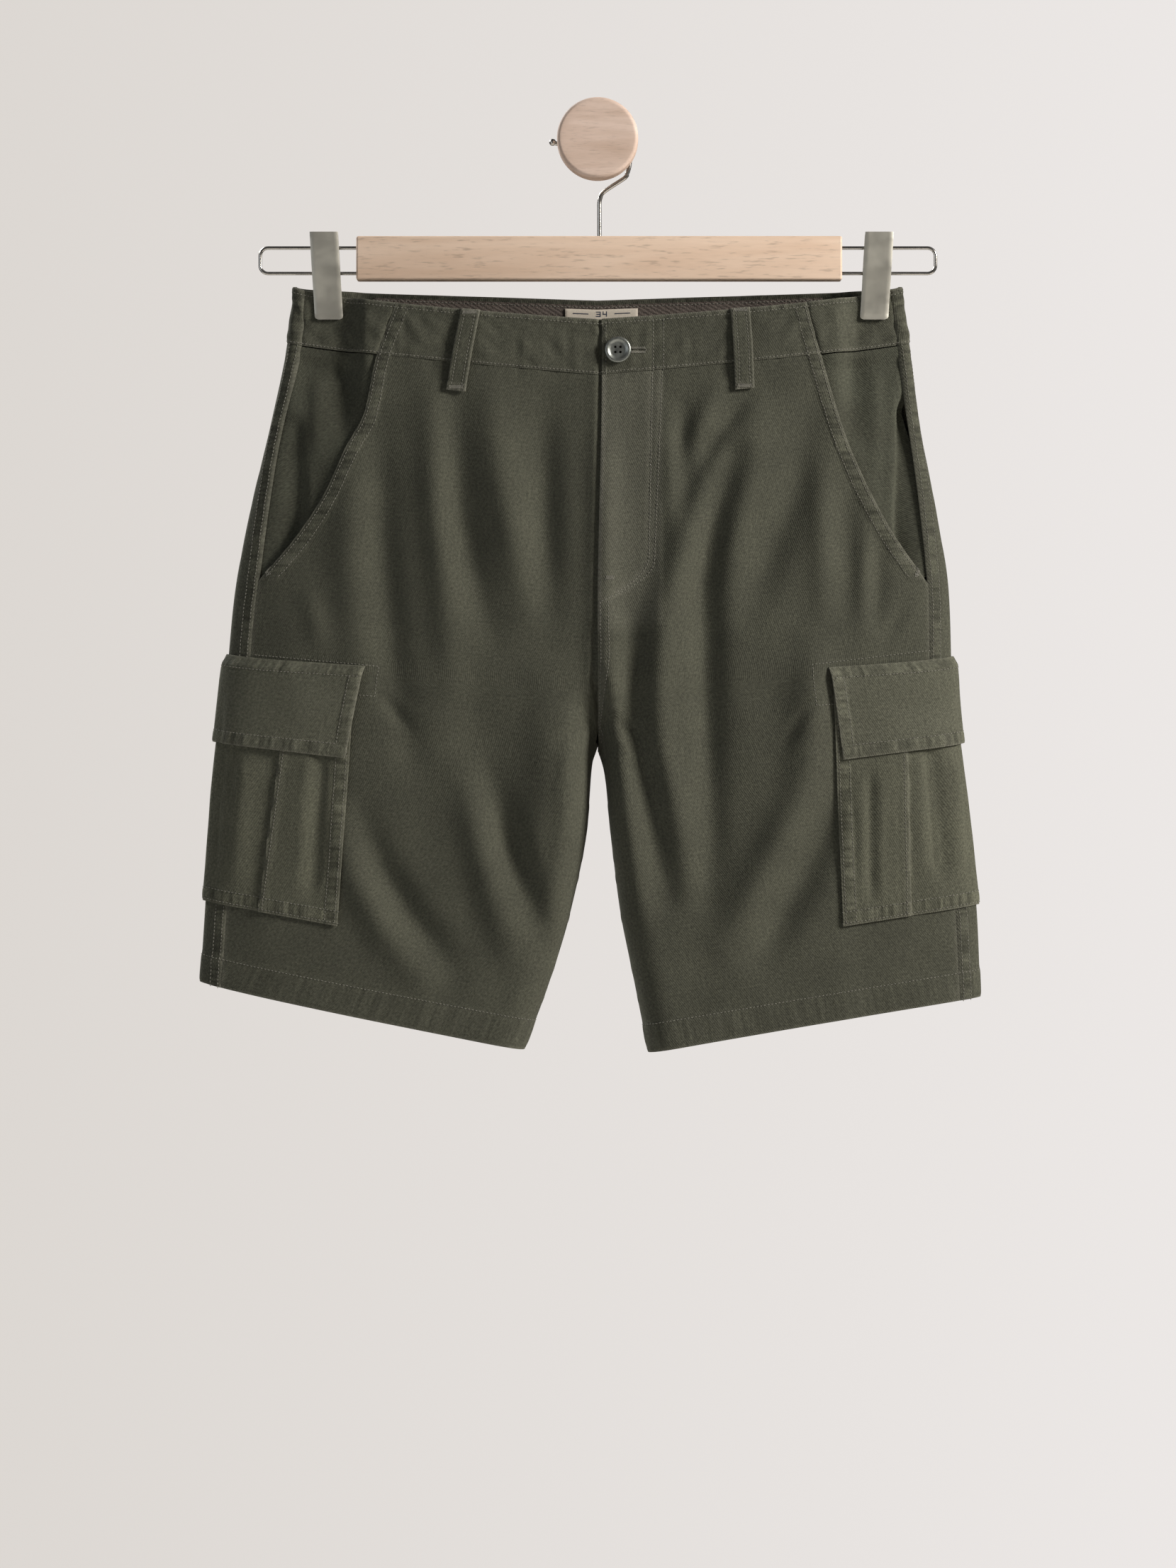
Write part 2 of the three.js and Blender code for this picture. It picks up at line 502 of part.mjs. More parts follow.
// A belt loop: a strip from the waistband's top to below its seam, standing off the band in the middle.
function beltLoop({ back, topX, bottomX, bottom }) {
  return wall(GRID.loop, (across, down, layer) => {
    const row = mix(BAND_TOP + LOOP.belowTop, bottom, down);
    const x = mix(topX, bottomX, down) + mix(-LOOP.width / 2, LOOP.width / 2, across);
    const bulge = LOOP.bulge * Math.sin(Math.PI * down);
    const out = BAND_PROUD + SEAM_GAP + bulge + (layer ? 0 : LOOP.wall);
    return facePoint(x, row, out, back);
  });
}

function waistTape() {
  return wall(GRID.tape, (across, down, layer) => {
    const out = BAND_PROUD - BAND_WALL - UNDER_GAP - (layer ? TAPE.wall : 0);
    const x = mix(-TAPE.halfWidth, TAPE.halfWidth, across);
    return facePoint(x, mix(TAPE.top, TAPE.bottom, down), out, true);
  });
}
function sizeLabel() {
  return wall(GRID.label, (across, down, layer) => {
    const out = BAND_PROUD - BAND_WALL - TAPE.wall - UNDER_GAP - 2 * SEAM_GAP - (layer ? LABEL.wall : 0);
    return facePoint(mix(LABEL.fromX, LABEL.toX, across), mix(LABEL.top, LABEL.bottom, down), out, true);
  });
}

// The waist button: a turned disc with a raised rim and four holes, flat against the band.
const wasm = await Module();
wasm.setup();
function solidOf(geometry) {
  const bare = geometry.index ? geometry.clone() : geometry;
  bare.deleteAttribute("normal");
  bare.deleteAttribute("uv");
  const merged = mergeVertices(bare, 1e-4);
  return new wasm.Manifold(new wasm.Mesh({
    numProp: 3,
    vertProperties: merged.attributes.position.array,
    triVerts: new Uint32Array(merged.index.array),
  }));
}
function geometryOf(solid) {
  const mesh = solid.getMesh();
  const geometry = new THREE.BufferGeometry();
  geometry.setAttribute("position", new THREE.BufferAttribute(mesh.vertProperties, 3));
  geometry.setIndex(new THREE.BufferAttribute(mesh.triVerts, 1));
  geometry.computeVertexNormals();
  return geometry;
}
function waistButton() {
  const { radius, height, holeRadius, holeSpacing, seat } = BUTTON;
  const profile = BUTTON_PROFILE.map(({ r, y }) => new THREE.Vector2(r * radius, y * height));
  let disc = solidOf(new THREE.LatheGeometry(profile, 24));
  for (const sx of [-1, 1])
    for (const sz of [-1, 1]) {
      const hole = new THREE.CylinderGeometry(holeRadius, holeRadius, height * 3, 8);
      hole.translate(sx * holeSpacing, 0, sz * holeSpacing);
      disc = disc.subtract(solidOf(hole));
    }
  const geometry = geometryOf(disc);
  geometry.rotateX(Math.PI); // the face turns from +Y to -Y
  const row = rowAt(BUTTON.x, BUTTON.z);
  const heights = Array.from({ length: 8 }, (_, i) => {
    const angle = (i * Math.PI) / 4, reach = seat * radius;
    return facePoint(BUTTON.x + reach * Math.cos(angle), row + reach * Math.sin(angle), BAND_PROUD, false).y;
  });
  geometry.translate(BUTTON.x, Math.min(...heights) - SEAM_GAP, BUTTON.z);
  return geometry;
}

// Wires lie in a plane of constant Y: rings of a round section along a list of [x, z] points.
function wire(points, radius, sides) {
  const last = points.length - 1;
  const positions = [], index = [];
  points.forEach(([x, z], i) => {
    const before = points[Math.max(0, i - 1)], after = points[Math.min(last, i + 1)];
    const length = Math.hypot(after[0] - before[0], after[1] - before[1]);
    const across = [-(after[1] - before[1]) / length, (after[0] - before[0]) / length];
    for (let k = 0; k < sides; k++) {
      const angle = (2 * Math.PI * k) / sides;
      const out = radius * Math.cos(angle);
      positions.push(x + across[0] * out, MID_Y + radius * Math.sin(angle), z + across[1] * out);
    }
  });
  for (let i = 0; i < last; i++)
    for (let k = 0; k < sides; k++) {
      const a = i * sides + k, b = i * sides + ((k + 1) % sides);
      index.push(a, b, b + sides, a, b + sides, a + sides);
    }
  for (let k = 1; k < sides - 1; k++) {
    index.push(0, k + 1, k);
    index.push(last * sides, last * sides + k, last * sides + k + 1);
  }
  return outward(positions, index);
}
function arc(cx, cz, radius, from, to, steps) {
  return Array.from({ length: steps + 1 }, (_, i) => {
    const angle = THREE.MathUtils.degToRad(mix(from, to, i / steps));
    return [cx + radius * Math.cos(angle), cz + radius * Math.sin(angle)];
  });
}

// The hook: up from the bar, bent aside, then round over the knob's stem to a ball end.
function hangerHook() {
  const { radius, x, bendZ, neck, arcZ, arcRadius, arcFrom, arcTo, tip, nearTip, ball } = HOOK;
  const points = [
    [x, BAR.top + SEAM_GAP], ...neck.map(([dx, dz]) => [x + dx, bendZ + dz]),
    ...arc(0, arcZ, arcRadius, arcFrom, arcTo, 18), nearTip, tip,
  ];
  const end = new THREE.SphereGeometry(ball, 10, 7);
  end.translate(tip[0], MID_Y, tip[1]);
  return geometryOf(solidOf(wire(points, radius, 8)).add(solidOf(end)));
}

// An end loop: a wire out of the bar's end, round two corners and back into it.
function endLoop(name) {
  const barEnd = name === "right" ? BAR.fromX - SEAM_GAP : BAR.toX + SEAM_GAP;
  const way = name === "right" ? -1 : 1;
  const cornerX = way * (Math.abs(LOOP_END_X[name]) - WIRE_RADIUS - LOOP_CORNER);
  const corner = (z, from, to) => arc(0, 0, LOOP_CORNER, from, to, 4)
    .map(([dx, dz]) => [cornerX + way * dx, z + dz]);
  const points = [
    [barEnd, WIRE_Z[0]],
    ...corner(WIRE_Z[0] - LOOP_CORNER, 90, 0),
    ...corner(WIRE_Z[1] + LOOP_CORNER, 0, -90),
    [barEnd, WIRE_Z[1]],
  ];
  return wire(points, WIRE_RADIUS, 8);
}

// A part with one outline in Y and Z, from fromX to toX. Its outline is a list of [y, z] points.
function extrudeX(outline, fromX, toX, bevel = 0) {
  const shape = new THREE.Shape(outline.map(([y, z]) => new THREE.Vector2(-z, y)));
  const geometry = new THREE.ExtrudeGeometry(shape, {
    depth: toX - fromX - 2 * bevel, bevelEnabled: bevel > 0, bevelThickness: bevel, bevelSize: bevel,
    bevelOffset: -bevel, bevelSegments: 1,
  });
  geometry.rotateY(Math.PI / 2); // depth to +X, shape x to -Z, shape y stays Y
  geometry.translate(fromX + bevel, 0, 0);
  return geometry;
}

function hangerBar() {
  const { fromX, toX, top, bottom, depth, round, bevel } = BAR;
  const outline = [
    [1, 1, 0], [-1, 1, 90], [-1, -1, 180], [1, -1, 270],
  ].flatMap(([sy, sz, from]) => arc(0, 0, round, from, from + 90, 3).map(([dy, dz]) => [
    MID_Y + sy * (depth / 2 - round) + dy, (top + bottom) / 2 + sz * ((top - bottom) / 2 - round) + dz,
  ]));
  return extrudeX(outline, fromX, toX, bevel);
}

// A clip's jaw: a steel strip that stands off the spring above and grips the waistband below.
function clipJaw(name, way) {
  const { width, plate } = CLIP;
  const inner = CLIP_FACE.map(({ y, z }) => [MID_Y + way * y, z]);
  const outer = CLIP_FACE.map(({ y, z }) => [MID_Y + way * (y + plate), z]).reverse();
  const outline = [...inner, ...outer];
  return extrudeX(outline, CLIP_X[name] - width / 2, CLIP_X[name] + width / 2);
}
function clipSpring(name) {
  const geometry = new THREE.CylinderGeometry(SPRING.radius, SPRING.radius, SPRING.length, 16);
  geometry.rotateZ(Math.PI / 2);
  geometry.translate(CLIP_X[name], MID_Y, SPRING.z);
  return geometry;
}

// The knob: a turned disc on a stem, whose back face is flat on the wall.
function knobDisc() {
  const { radius, front, back, edge, cut } = KNOB; // cut: how deep the rounded edge's corner is taken off
  const profile = [
    [0, back], [radius - edge, back], [radius - cut, back - cut], [radius, back - edge],
    [radius, front + edge], [radius - cut, front + cut], [radius - edge, front], [0, front],
  ].map(([r, y]) => new THREE.Vector2(r, y));
  return outwardCopy(new THREE.LatheGeometry(profile, 48));
}
function knobStem() {
  const geometry = new THREE.CylinderGeometry(STEM_RADIUS, STEM_RADIUS, -KNOB.back - SEAM_GAP, 24);
  geometry.translate(0, (KNOB.back + SEAM_GAP) / 2, 0);
  return geometry;
}
function outwardCopy(geometry) {
  geometry.deleteAttribute("normal");
  geometry.deleteAttribute("uv");
  const merged = mergeVertices(geometry, 1e-4);
  return outward(Array.from(merged.attributes.position.array), Array.from(merged.index.array));
}

for (const leg of LEGS) {
  addPiece("front_panel_" + leg.name, "cloth", frontPanel(leg));
  addPiece("back_panel_" + leg.name, "cloth", backPanel(leg));
  addPiece("waistband_front_" + leg.name, "cloth", bandFront(leg));
  addPiece("waistband_side_" + leg.name, "cloth", bandSide(leg));
  addPiece("pocket_facing_" + leg.name, "facing", pocketFacing(leg));
  addPiece("cargo_pocket_" + leg.name, "cloth", cargoPocket(leg));
  addPiece("cargo_flap_" + leg.name, "cloth", cargoFlap(leg));
  addPiece("end_loop_" + leg.name, "steel", endLoop(leg.name));
  addPiece("clip_front_jaw_" + leg.name, "steel", clipJaw(leg.name, -1));
  addPiece("clip_back_jaw_" + leg.name, "steel", clipJaw(leg.name, 1));
  addPiece("clip_spring_" + leg.name, "steel", clipSpring(leg.name));
}
addPiece("waistband_back", "cloth", bandBack());
addPiece("fly_shield", "cloth", flyShield());
for (const loop of BELT_LOOPS) addPiece(loop.name, "cloth", beltLoop(loop));
addPiece("waist_tape", "tape", waistTape());
addPiece("size_label", "label", sizeLabel());
addPiece("waist_button", "button", waistButton());
addPiece("hanger_bar", "wood", hangerBar());
addPiece("hanger_hook", "steel", hangerHook());
addPiece("wall_knob_disc", "knob", knobDisc());
addPiece("wall_knob_stem", "knob", knobStem());

export default object;
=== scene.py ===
# Cargo shorts clipped to a hanger on a wooden wall knob. The cloth is worked out in millimetres, as
# sections round each leg, and made in metres. Right and left are the wearer's: right is -X.
import math

import bmesh
import bpy
import numpy as np
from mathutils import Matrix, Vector


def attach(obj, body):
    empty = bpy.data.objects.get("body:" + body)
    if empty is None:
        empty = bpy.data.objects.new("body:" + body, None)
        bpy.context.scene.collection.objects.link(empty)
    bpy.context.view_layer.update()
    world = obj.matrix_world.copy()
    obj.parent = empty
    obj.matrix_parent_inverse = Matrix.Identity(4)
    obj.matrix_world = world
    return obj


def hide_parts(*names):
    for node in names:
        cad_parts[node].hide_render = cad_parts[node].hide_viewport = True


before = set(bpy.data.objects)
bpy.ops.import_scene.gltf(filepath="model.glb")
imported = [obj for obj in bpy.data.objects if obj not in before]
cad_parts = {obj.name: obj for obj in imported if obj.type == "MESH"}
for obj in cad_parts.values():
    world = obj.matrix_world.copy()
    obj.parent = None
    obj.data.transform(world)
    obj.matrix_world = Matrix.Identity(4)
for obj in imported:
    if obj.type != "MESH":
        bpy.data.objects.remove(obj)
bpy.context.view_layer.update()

mm = 0.001
halfGap = 0.15  # two pieces end this far from the middle of their seam

garment = {
    "midY": -28.0,  # the plane that front and back hang on each side of
    "clothWall": 1.3,
    "bandProud": 0.8,
    "bandWall": 2.6,
    "bandTop": -107.0,  # a row's height is the one at the silhouette
    "bandSeam": -149.0,
    "pocketEndZ": -326.0,
    "flyEdgeX": 3.0,
    "flyEndZ": -343.0,
    "hemDepth": 21.5,
    "sideRound": 4,
    "crotchRound": 24.0,
    "backFallBend": 0.9,
    "foldGain": 1.65,  # the cloth's folds are a little deeper than the solids'
    "step": 2.4,  # grid spacing of the big panels
    "fineStep": 1.5,
}
clipX = {"right": -201.5, "left": 207.5}
grip = {"width": 24.0, "half": 3.2, "top": -132.0, "fade": 105.0}

rowKeys = ("z", "outer", "inner", "fallFront", "fallBack", "bend", "front", "back", "seamIn")
rightRows = [
    (-107, 226, -95, 26, 9, 0.55, 18, 12, 8),
    (-149, 231, -95, 25.3, 13, 0.75, 20, 14, 10.5),
    (-212, 244, -90, 24, 20, 0.9, 23, 16, 9),
    (-275, 259, -75, 23, 31, 1, 25, 17, 13.5),
    (-338, 270.5, -44, 22, 48, 1, 25, 17, 17),
    (-401, 276.5, 3, 22, 84, 1, 24, 16, 17),
    (-463, 283.5, 7.4, 40, 46, 1, 23, 15, 17),
    (-527, 289.5, 20.3, 46, 46, 1, 22, 14.5, 17),
    (-580, 293, 37, 48, 48, 0.95, 21.5, 14, 17),
    (-624, 296.1, 54.6, 50.6, 50.6, 0.92, 21, 14, 17),
]
leftRows = [
    (-107, 226, -95, 26, 9, 0.55, 18, 12, 8),
    (-149, 232, -95, 25.3, 13, 0.75, 20, 14, 8.5),
    (-212, 240.5, -90, 24, 20, 0.9, 23, 16, 8.5),
    (-275, 252.5, -75, 23, 31, 1, 25, 17, 12),
    (-338, 262, -44, 22, 48, 1, 25, 17, 16),
    (-401, 264, 3, 22, 84, 1, 24, 16, 17),
    (-463, 270.5, 9, 40, 46, 1, 23, 15, 17),
    (-527, 278.5, 16.5, 41, 44, 1, 22, 14.5, 17),
    (-580, 283, 26.8, 41, 42, 1, 21.5, 14, 16.5),
    (-635.3, 285.1, 37.8, 41.4, 41.4, 1.05, 21, 14, 16.3),
]
pocketEdges = {  # height and distance from the centre
    "right": [(-119, 149), (-160, 164), (-202, 173), (-226.5, 186), (-263, 203), (-294.5, 224),
              (-326, 251.5)],
    "left": [(-119, 155), (-160, 166), (-219, 184), (-254, 199), (-291, 219), (-326, 243.5)],
}

# Folds: points along the crest or trough, width, height; a trough's height is below zero.
frontFolds = [
    ([(-183, -235), (-184, -310), (-176, -385)], 14, 2.6),
    ([(-161, -205), (-160, -300), (-150, -400), (-140, -455)], 13, -3.4),
    ([(-122, -195), (-120, -270), (-113, -330), (-107, -405)], 13, 3.6),
    ([(-108, -200), (-101, -285), (-90, -330), (-78, -372)], 12, -3),
    ([(-78, -195), (-72, -250), (-62, -300), (-52, -345)], 14, 3.4),
    ([(-39, -195), (-39, -280), (-37, -345)], 13, -4),
    ([(-97, -470), (-88, -520), (-77, -562), (-64, -602)], 13, 4),
    ([(-79, -475), (-64, -520), (-50, -562), (-38, -600)], 12, -4.2),
    ([(-20, -430), (-20, -500), (-30, -570)], 10, 3),
    ([(-190, -500), (-180, -547), (-158, -586), (-130, -622)], 13, 3.4),
    ([(-176, -500), (-160, -541), (-136, -578), (-108, -614)], 12, -3.6),
    ([(5, -185), (5, -300), (6, -420)], 11, 3),
    ([(52, -205), (52, -285)], 8, 1.6),
    ([(64, -200), (65, -275)], 8, -2.2),
    ([(88, -186), (70, -222), (60, -255)], 8, 2.2),
    ([(110, -192), (86, -224), (72, -252)], 7, -2.4),
    ([(92, -222), (78, -256), (64, -300), (50, -345),
      (45, -400), (47, -450), (57, -500), (68, -548)], 13, 4.6),
    ([(101, -235), (88, -275), (81, -330), (81, -400), (83, -470), (84, -520), (80, -560)], 12, -4.8),
    ([(11, -360), (9, -430), (14, -475), (22, -525), (30, -575)], 10, 4),
    ([(30, -365), (26, -430), (38, -478), (46, -520), (52, -562)], 10, -3.6),
    ([(118, -205), (110, -258), (98, -302), (91, -340)], 13, 3.2),
    ([(158, -198), (148, -255), (130, -305), (112, -350)], 14, -3.6),
    ([(166, -245), (166, -350)], 10, 2.2),
    ([(186, -250), (185, -345)], 10, -2.2),
    ([(160, -380), (160, -460)], 16, 3),
    ([(160, -465), (138, -510), (115, -556), (93, -594)], 14, 4.4),
    ([(180, -482), (165, -522), (141, -570), (120, -606)], 13, -4.2),
]
broadFolds = [  # wide, low swells of the cloth itself
    ([(-36, -405), (-38, -490), (-52, -580)], 18, 3.6),
    ([(-92, -400), (-84, -470)], 20, -1.6),
    ([(158, -375), (154, -440), (142, -510)], 17, 2.8),
    ([(198, -290), (196, -360)], 7, 1.6),
    ([(209, -290), (207, -360)], 7, -1.8),
    ([(230, -341), (211, -373)], 6, -1.5),
    ([(-215, -335), (-205, -375)], 8, 1.5),
    ([(7, -426), (30, -441)], 3.4, -1.1),
    ([(8, -438), (28, -458)], 3.0, 0.9),
    ([(-8, -430), (-30, -447)], 3.4, -1.2),
    ([(-9, -444), (-27, -466)], 3.0, 0.9),
    ([(-160, -412), (-140, -436)], 5, -1.4),
    ([(156, -420), (138, -448)], 5, -1.4),
]
backFolds = [
    ([(-150, -200), (-130, -320), (-100, -420)], 20, 3.2),
    ([(-110, -190), (-90, -310), (-62, -410)], 18, -3),
    ([(-60, -180), (-50, -280), (-30, -370)], 18, 3),
    ([(140, -200), (125, -320), (98, -425)], 20, 3.4),
    ([(96, -190), (84, -310), (60, -410)], 18, -3),
    ([(50, -185), (44, -280), (28, -370)], 17, 2.8),
    ([(-70, -470), (-100, -560), (-150, -640)], 18, 3.4),
    ([(-110, -455), (-150, -540), (-190, -600)], 18, -3),
    ([(62, -470), (92, -560), (140, -640)], 18, 3.2),
    ([(104, -455), (146, -540), (184, -605)], 18, -3),
]


def smoothStep(value, low, high):
    t = np.clip((value - low) / (high - low), 0, 1)
    return t * t * (3 - 2 * t)


def fallOff(value, low, high):
    return 1 - smoothStep(value, low, high)


def bump(value, centre, width):
    return np.exp(-(((value - centre) / width) ** 2))


def columnCurve(heights, values):
    # A smooth curve through a column of a table that is ordered downwards, without overshoot.
    xs = -np.asarray(heights, float)
    ys = np.asarray(values, float)
    slopes = np.diff(ys) / np.diff(xs)
    tangents = np.zeros(len(ys))
    tangents[0], tangents[-1] = slopes[0], slopes[-1]
    for i in range(1, len(ys) - 1):
        if slopes[i - 1] * slopes[i] > 0:
            tangents[i] = 2 * slopes[i - 1] * slopes[i] / (slopes[i - 1] + slopes[i])

    def at(z):
        h = np.clip(-np.asarray(z, float), xs[0], xs[-1])
        i = np.clip(np.searchsorted(xs, h, side="right") - 1, 0, len(xs) - 2)
        span = xs[i + 1] - xs[i]
        t = (h - xs[i]) / span
        rise = ys[i + 1] - ys[i]
        start, end = tangents[i] * span, tangents[i + 1] * span
        return ys[i] + start * t + (3 * rise - 2 * start - end) * t**2 + (start + end - 2 * rise) * t**3

    return at


class Leg:
    def __init__(self, name, side, rows):
        self.name, self.side, self.hem = name, side, rows[-1][0]
        heights = [row[0] for row in rows]
        for column, key in enumerate(rowKeys[1:], 1):
            setattr(self, key, columnCurve(heights, [row[column] for row in rows]))
        edge = pocketEdges[name]
        self.pocketEdge = columnCurve([z for z, _ in edge], [x for _, x in edge])


legs = {"right": Leg("right", -1, rightRows), "left": Leg("left", 1, leftRows)}


def latticeNoise(x, z, scaleX, scaleZ, seed):
    # Smooth noise between -1 and 1: random values on a lattice, eased between.
    values = np.random.default_rng(seed).uniform(-1, 1, (97, 89))
    px, pz = np.asarray(x) / scaleX + 500.0, np.asarray(z) / scaleZ + 500.0
    ix, iz = np.floor(px).astype(int), np.floor(pz).astype(int)
    tx, tz = px - ix, pz - iz
    tx, tz = tx * tx * (3 - 2 * tx), tz * tz * (3 - 2 * tz)
    a, b = values[ix % 97, iz % 89], values[(ix + 1) % 97, iz % 89]
    c, d = values[ix % 97, (iz + 1) % 89], values[(ix + 1) % 97, (iz + 1) % 89]
    return (a * (1 - tx) + b * tx) * (1 - tz) + (c * (1 - tx) + d * tx) * tz


def nearLine(line, x, z):
    # Distance to the nearest point of a line of [x, z] points, and that point's share of its length.
    nearest = np.full(np.broadcast(x, z).shape, np.inf)
    along = np.zeros(nearest.shape)
    parts = [math.dist(a, b) for a, b in zip(line, line[1:])]
    done = 0.0
    for (ax, az), (bx, bz), part in zip(line, line[1:], parts):
        dx, dz = bx - ax, bz - az
        t = np.clip(((x - ax) * dx + (z - az) * dz) / part**2, 0, 1)
        away = np.hypot(x - ax - dx * t, z - az - dz * t)
        along = np.where(away < nearest, (done + part * t) / sum(parts), along)
        nearest = np.minimum(away, nearest)
        done += part
    return nearest, along


def foldHeight(folds, x, z):
    height = np.zeros(np.broadcast(x, z).shape)
    for line, width, rise in folds:
        nearest, along = nearLine(line, x, z)
        taper = 0.35 + 0.65 * np.sin(np.pi * along)
        height += rise * taper * np.exp(-((nearest / width) ** 2))
    return height


def clothPoint(leg, rnd, row, out):
    # rnd runs from 0 at the inner edge in front, over 1 at the silhouette, to 2 at the inner edge behind.
    rnd, row, out = np.broadcast_arrays(*(np.asarray(value, float) for value in (rnd, row, out)))
    outer, inner = leg.outer(row) + out, leg.inner(row) - out
    across = np.sin(rnd * np.pi / 2)
    x = inner + (outer - inner) * across
    inFront = rnd < 1
    closing = 1 - np.clip((x - inner) / garment["crotchRound"], 0, 1)
    fullness = np.sqrt(np.clip(1 - across ** garment["sideRound"], 0, 1) * np.clip(1 - closing**2.2, 0, 1))
    toBack = 0.5 + np.where(inFront, -0.5, 0.5) * fullness
    inward = np.clip((outer - x) / (outer - np.maximum(inner, 0)), 0, None)
    fall = (1 - toBack) * leg.fallFront(row) * inward ** leg.bend(row)
    fall = fall + toBack * leg.fallBack(row) * inward ** garment["backFallBend"]
    z = row - fall
    away = np.abs(leg.side * x - clipX[leg.name])
    held = smoothStep(z, grip["top"] - grip["fade"], grip["top"]) * np.exp(-((away / grip["width"]) ** 6))
    free = (np.where(inFront, leg.front(row), leg.back(row)) + out) * fullness
    pressed = (grip["half"] + out) * (1 - (1 - fullness) ** 6)
    sx = leg.side * x
    folds = np.where(inFront, foldHeight(frontFolds + broadFolds, sx, z), foldHeight(backFolds, sx, z))
    folds = folds * garment["foldGain"] + wrinkles(sx, z, inFront)
    folds = folds * fullness * (1 - held)
    half = free * (1 - held) + pressed * held + folds + 0.15 * (1 - across)
    y = garment["midY"] + np.where(inFront, -half, half)
    return np.stack([sx, y, z], axis=-1)


def wrinkles(x, z, inFront):
    # Fine unevenness of hung cotton: soft streaks down the cloth and a little cross waviness.
    shift = np.where(inFront, 0.0, 371.0)
    streaks = 0.55 * latticeNoise(x + shift + 0.12 * z, z, 21, 95, 11)
    soft = 0.4 * latticeNoise(x + shift - 0.2 * z, z, 34, 48, 12)
    return streaks + soft


def roundAt(leg, x, row, out, onBack=False):
    outer, inner = leg.outer(row) + out, leg.inner(row) - out
    place = 2 / np.pi * np.arcsin(np.clip((x - inner) / (outer - inner), 0, 1))
    return 2 - place if onBack else place


def facePoint(x, row, out, onBack=False):
    x, row, out = np.broadcast_arrays(*(np.asarray(value, float) for value in (x, row, out)))
    right, left = (clothPoint(leg, roundAt(leg, np.abs(x), row, out, onBack), row, out)
                   for leg in legs.values())
    return np.where((x < 0)[..., None], right, left)


def rowAt(x, z, onBack=False):
    row = np.asarray(z, float) + 0.0 * np.asarray(x, float)
    for _ in range(12):
        row = row + z - facePoint(x, row, 0, onBack)[..., 2]
    return row


def sideSeamX(leg, row):
    return leg.outer(row) - leg.seamIn(row)


def pocketEdgeX(leg, row):
    seam = sideSeamX(leg, row)
    ends = facePoint(leg.side * seam, row, 0)[..., 2] <= garment["pocketEndZ"]
    x = leg.pocketEdge(row)
    for _ in range(8):
        x = leg.pocketEdge(facePoint(leg.side * x, row, 0)[..., 2])
    return np.where(ends, seam, np.minimum(x, seam))


def centreX(row):
    row = np.asarray(row, float)
    return garment["flyEdgeX"] * smoothStep(row, garment["flyEndZ"] + 25, garment["bandSeam"])


def centreStart(leg, row, onBack):
    return (0 if onBack else leg.side * centreX(row)) + halfGap


class Sheet:
    # A grid of cloth: rounds and rows of its points, with u the length across and v the length down, in mm.
    def __init__(self, leg, rows, startRound, endRound, step, lift=0.0):
        samples = np.linspace(0, 1, 160)
        path = startRound[:, None] + (endRound - startRound)[:, None] * samples
        points = clothPoint(leg, path, rows[:, None], lift)
        lengths = np.linalg.norm(np.diff(points[..., :2], axis=1), axis=-1)
        total = np.concatenate([np.zeros((len(rows), 1)), np.cumsum(lengths, axis=1)], axis=1)
        columns = max(3, int(math.ceil(total[:, -1].max() / step)))
        even = np.linspace(0, 1, columns + 1)
        self.leg = leg
        self.rows = np.repeat(rows[:, None], columns + 1, axis=1)
        self.rounds = np.stack([np.interp(even * t[-1], t, p) for t, p in zip(total, path)])
        self.width = total[:, -1]
        self.u = even[None, :] * self.width[:, None]
        self.uEnd = self.width[:, None] - self.u
        self.v = np.repeat((rows[0] - rows)[:, None], columns + 1, axis=1)
        self.vEnd = self.v[-1:, :] - self.v
        self.wear = np.zeros_like(self.u)  # paler where rubbed
        self.sewn = np.zeros_like(self.u)  # puckered where layers are sewn together; the material paints shade and highlight on the puckers there
        self.along = np.zeros_like(self.u)  # distance along the nearest seam
        self.relief = np.zeros_like(self.u)

    def points(self, out):
        return clothPoint(self.leg, self.rounds, self.rows, out)


def rowsBetween(top, bottom, step):
    return np.linspace(top, bottom, int(math.ceil(abs(top - bottom) / step)) + 1)


def joinSheets(first, second):
    # Puts the second sheet beside the first, dropping its first column, which lies on the first's last.
    both = Sheet.__new__(Sheet)
    for key in ("u", "v", "uEnd", "vEnd", "wear", "sewn", "along", "relief", "rows", "rounds"):
        a, b = getattr(first, key), getattr(second, key)
        setattr(both, key, np.concatenate([a, b[:, 1:]], axis=1))
    both.u = np.concatenate([first.u, first.width[:, None] + second.u[:, 1:]], axis=1)
    both.width = first.width + second.width
    both.uEnd = both.width[:, None] - both.u
    split = first.u.shape[1]

    def points(out):
        out = np.broadcast_to(out, both.u.shape)
        sides = first.points(out[:, :split]), second.points(out[:, split - 1:])[:, 1:]
        return np.concatenate(sides, axis=1)

    both.points = points
    return both


# Materials

def srgb(code):
    parts = [int(code[i:i + 2], 16) / 255 for i in (1, 3, 5)]
    return tuple(c / 12.92 if c <= 0.04045 else ((c + 0.055) / 1.055) ** 2.4 for c in parts) + (1.0,)


def newMaterial(name):
    material = bpy.data.materials.new(name)
    material.use_nodes = True
    tree = material.node_tree
    tree.nodes.clear()
    shader = tree.nodes.new("ShaderNodeBsdfPrincipled")
    output = tree.nodes.new("ShaderNodeOutputMaterial")
    tree.links.new(shader.outputs["BSDF"], output.inputs["Surface"])
    return material, tree, shader


def addNode(tree, kind, settings=None, inputs=None):
    # Adds one node; an input's value may be another node's socket.
    node = tree.nodes.new(kind)
    for key, value in (settings or {}).items():
        setattr(node, key, value)
    for key, value in (inputs or {}).items():
        if isinstance(value, bpy.types.NodeSocket):
            tree.links.new(value, node.inputs[key])
        else:
            node.inputs[key].default_value = value
    return node


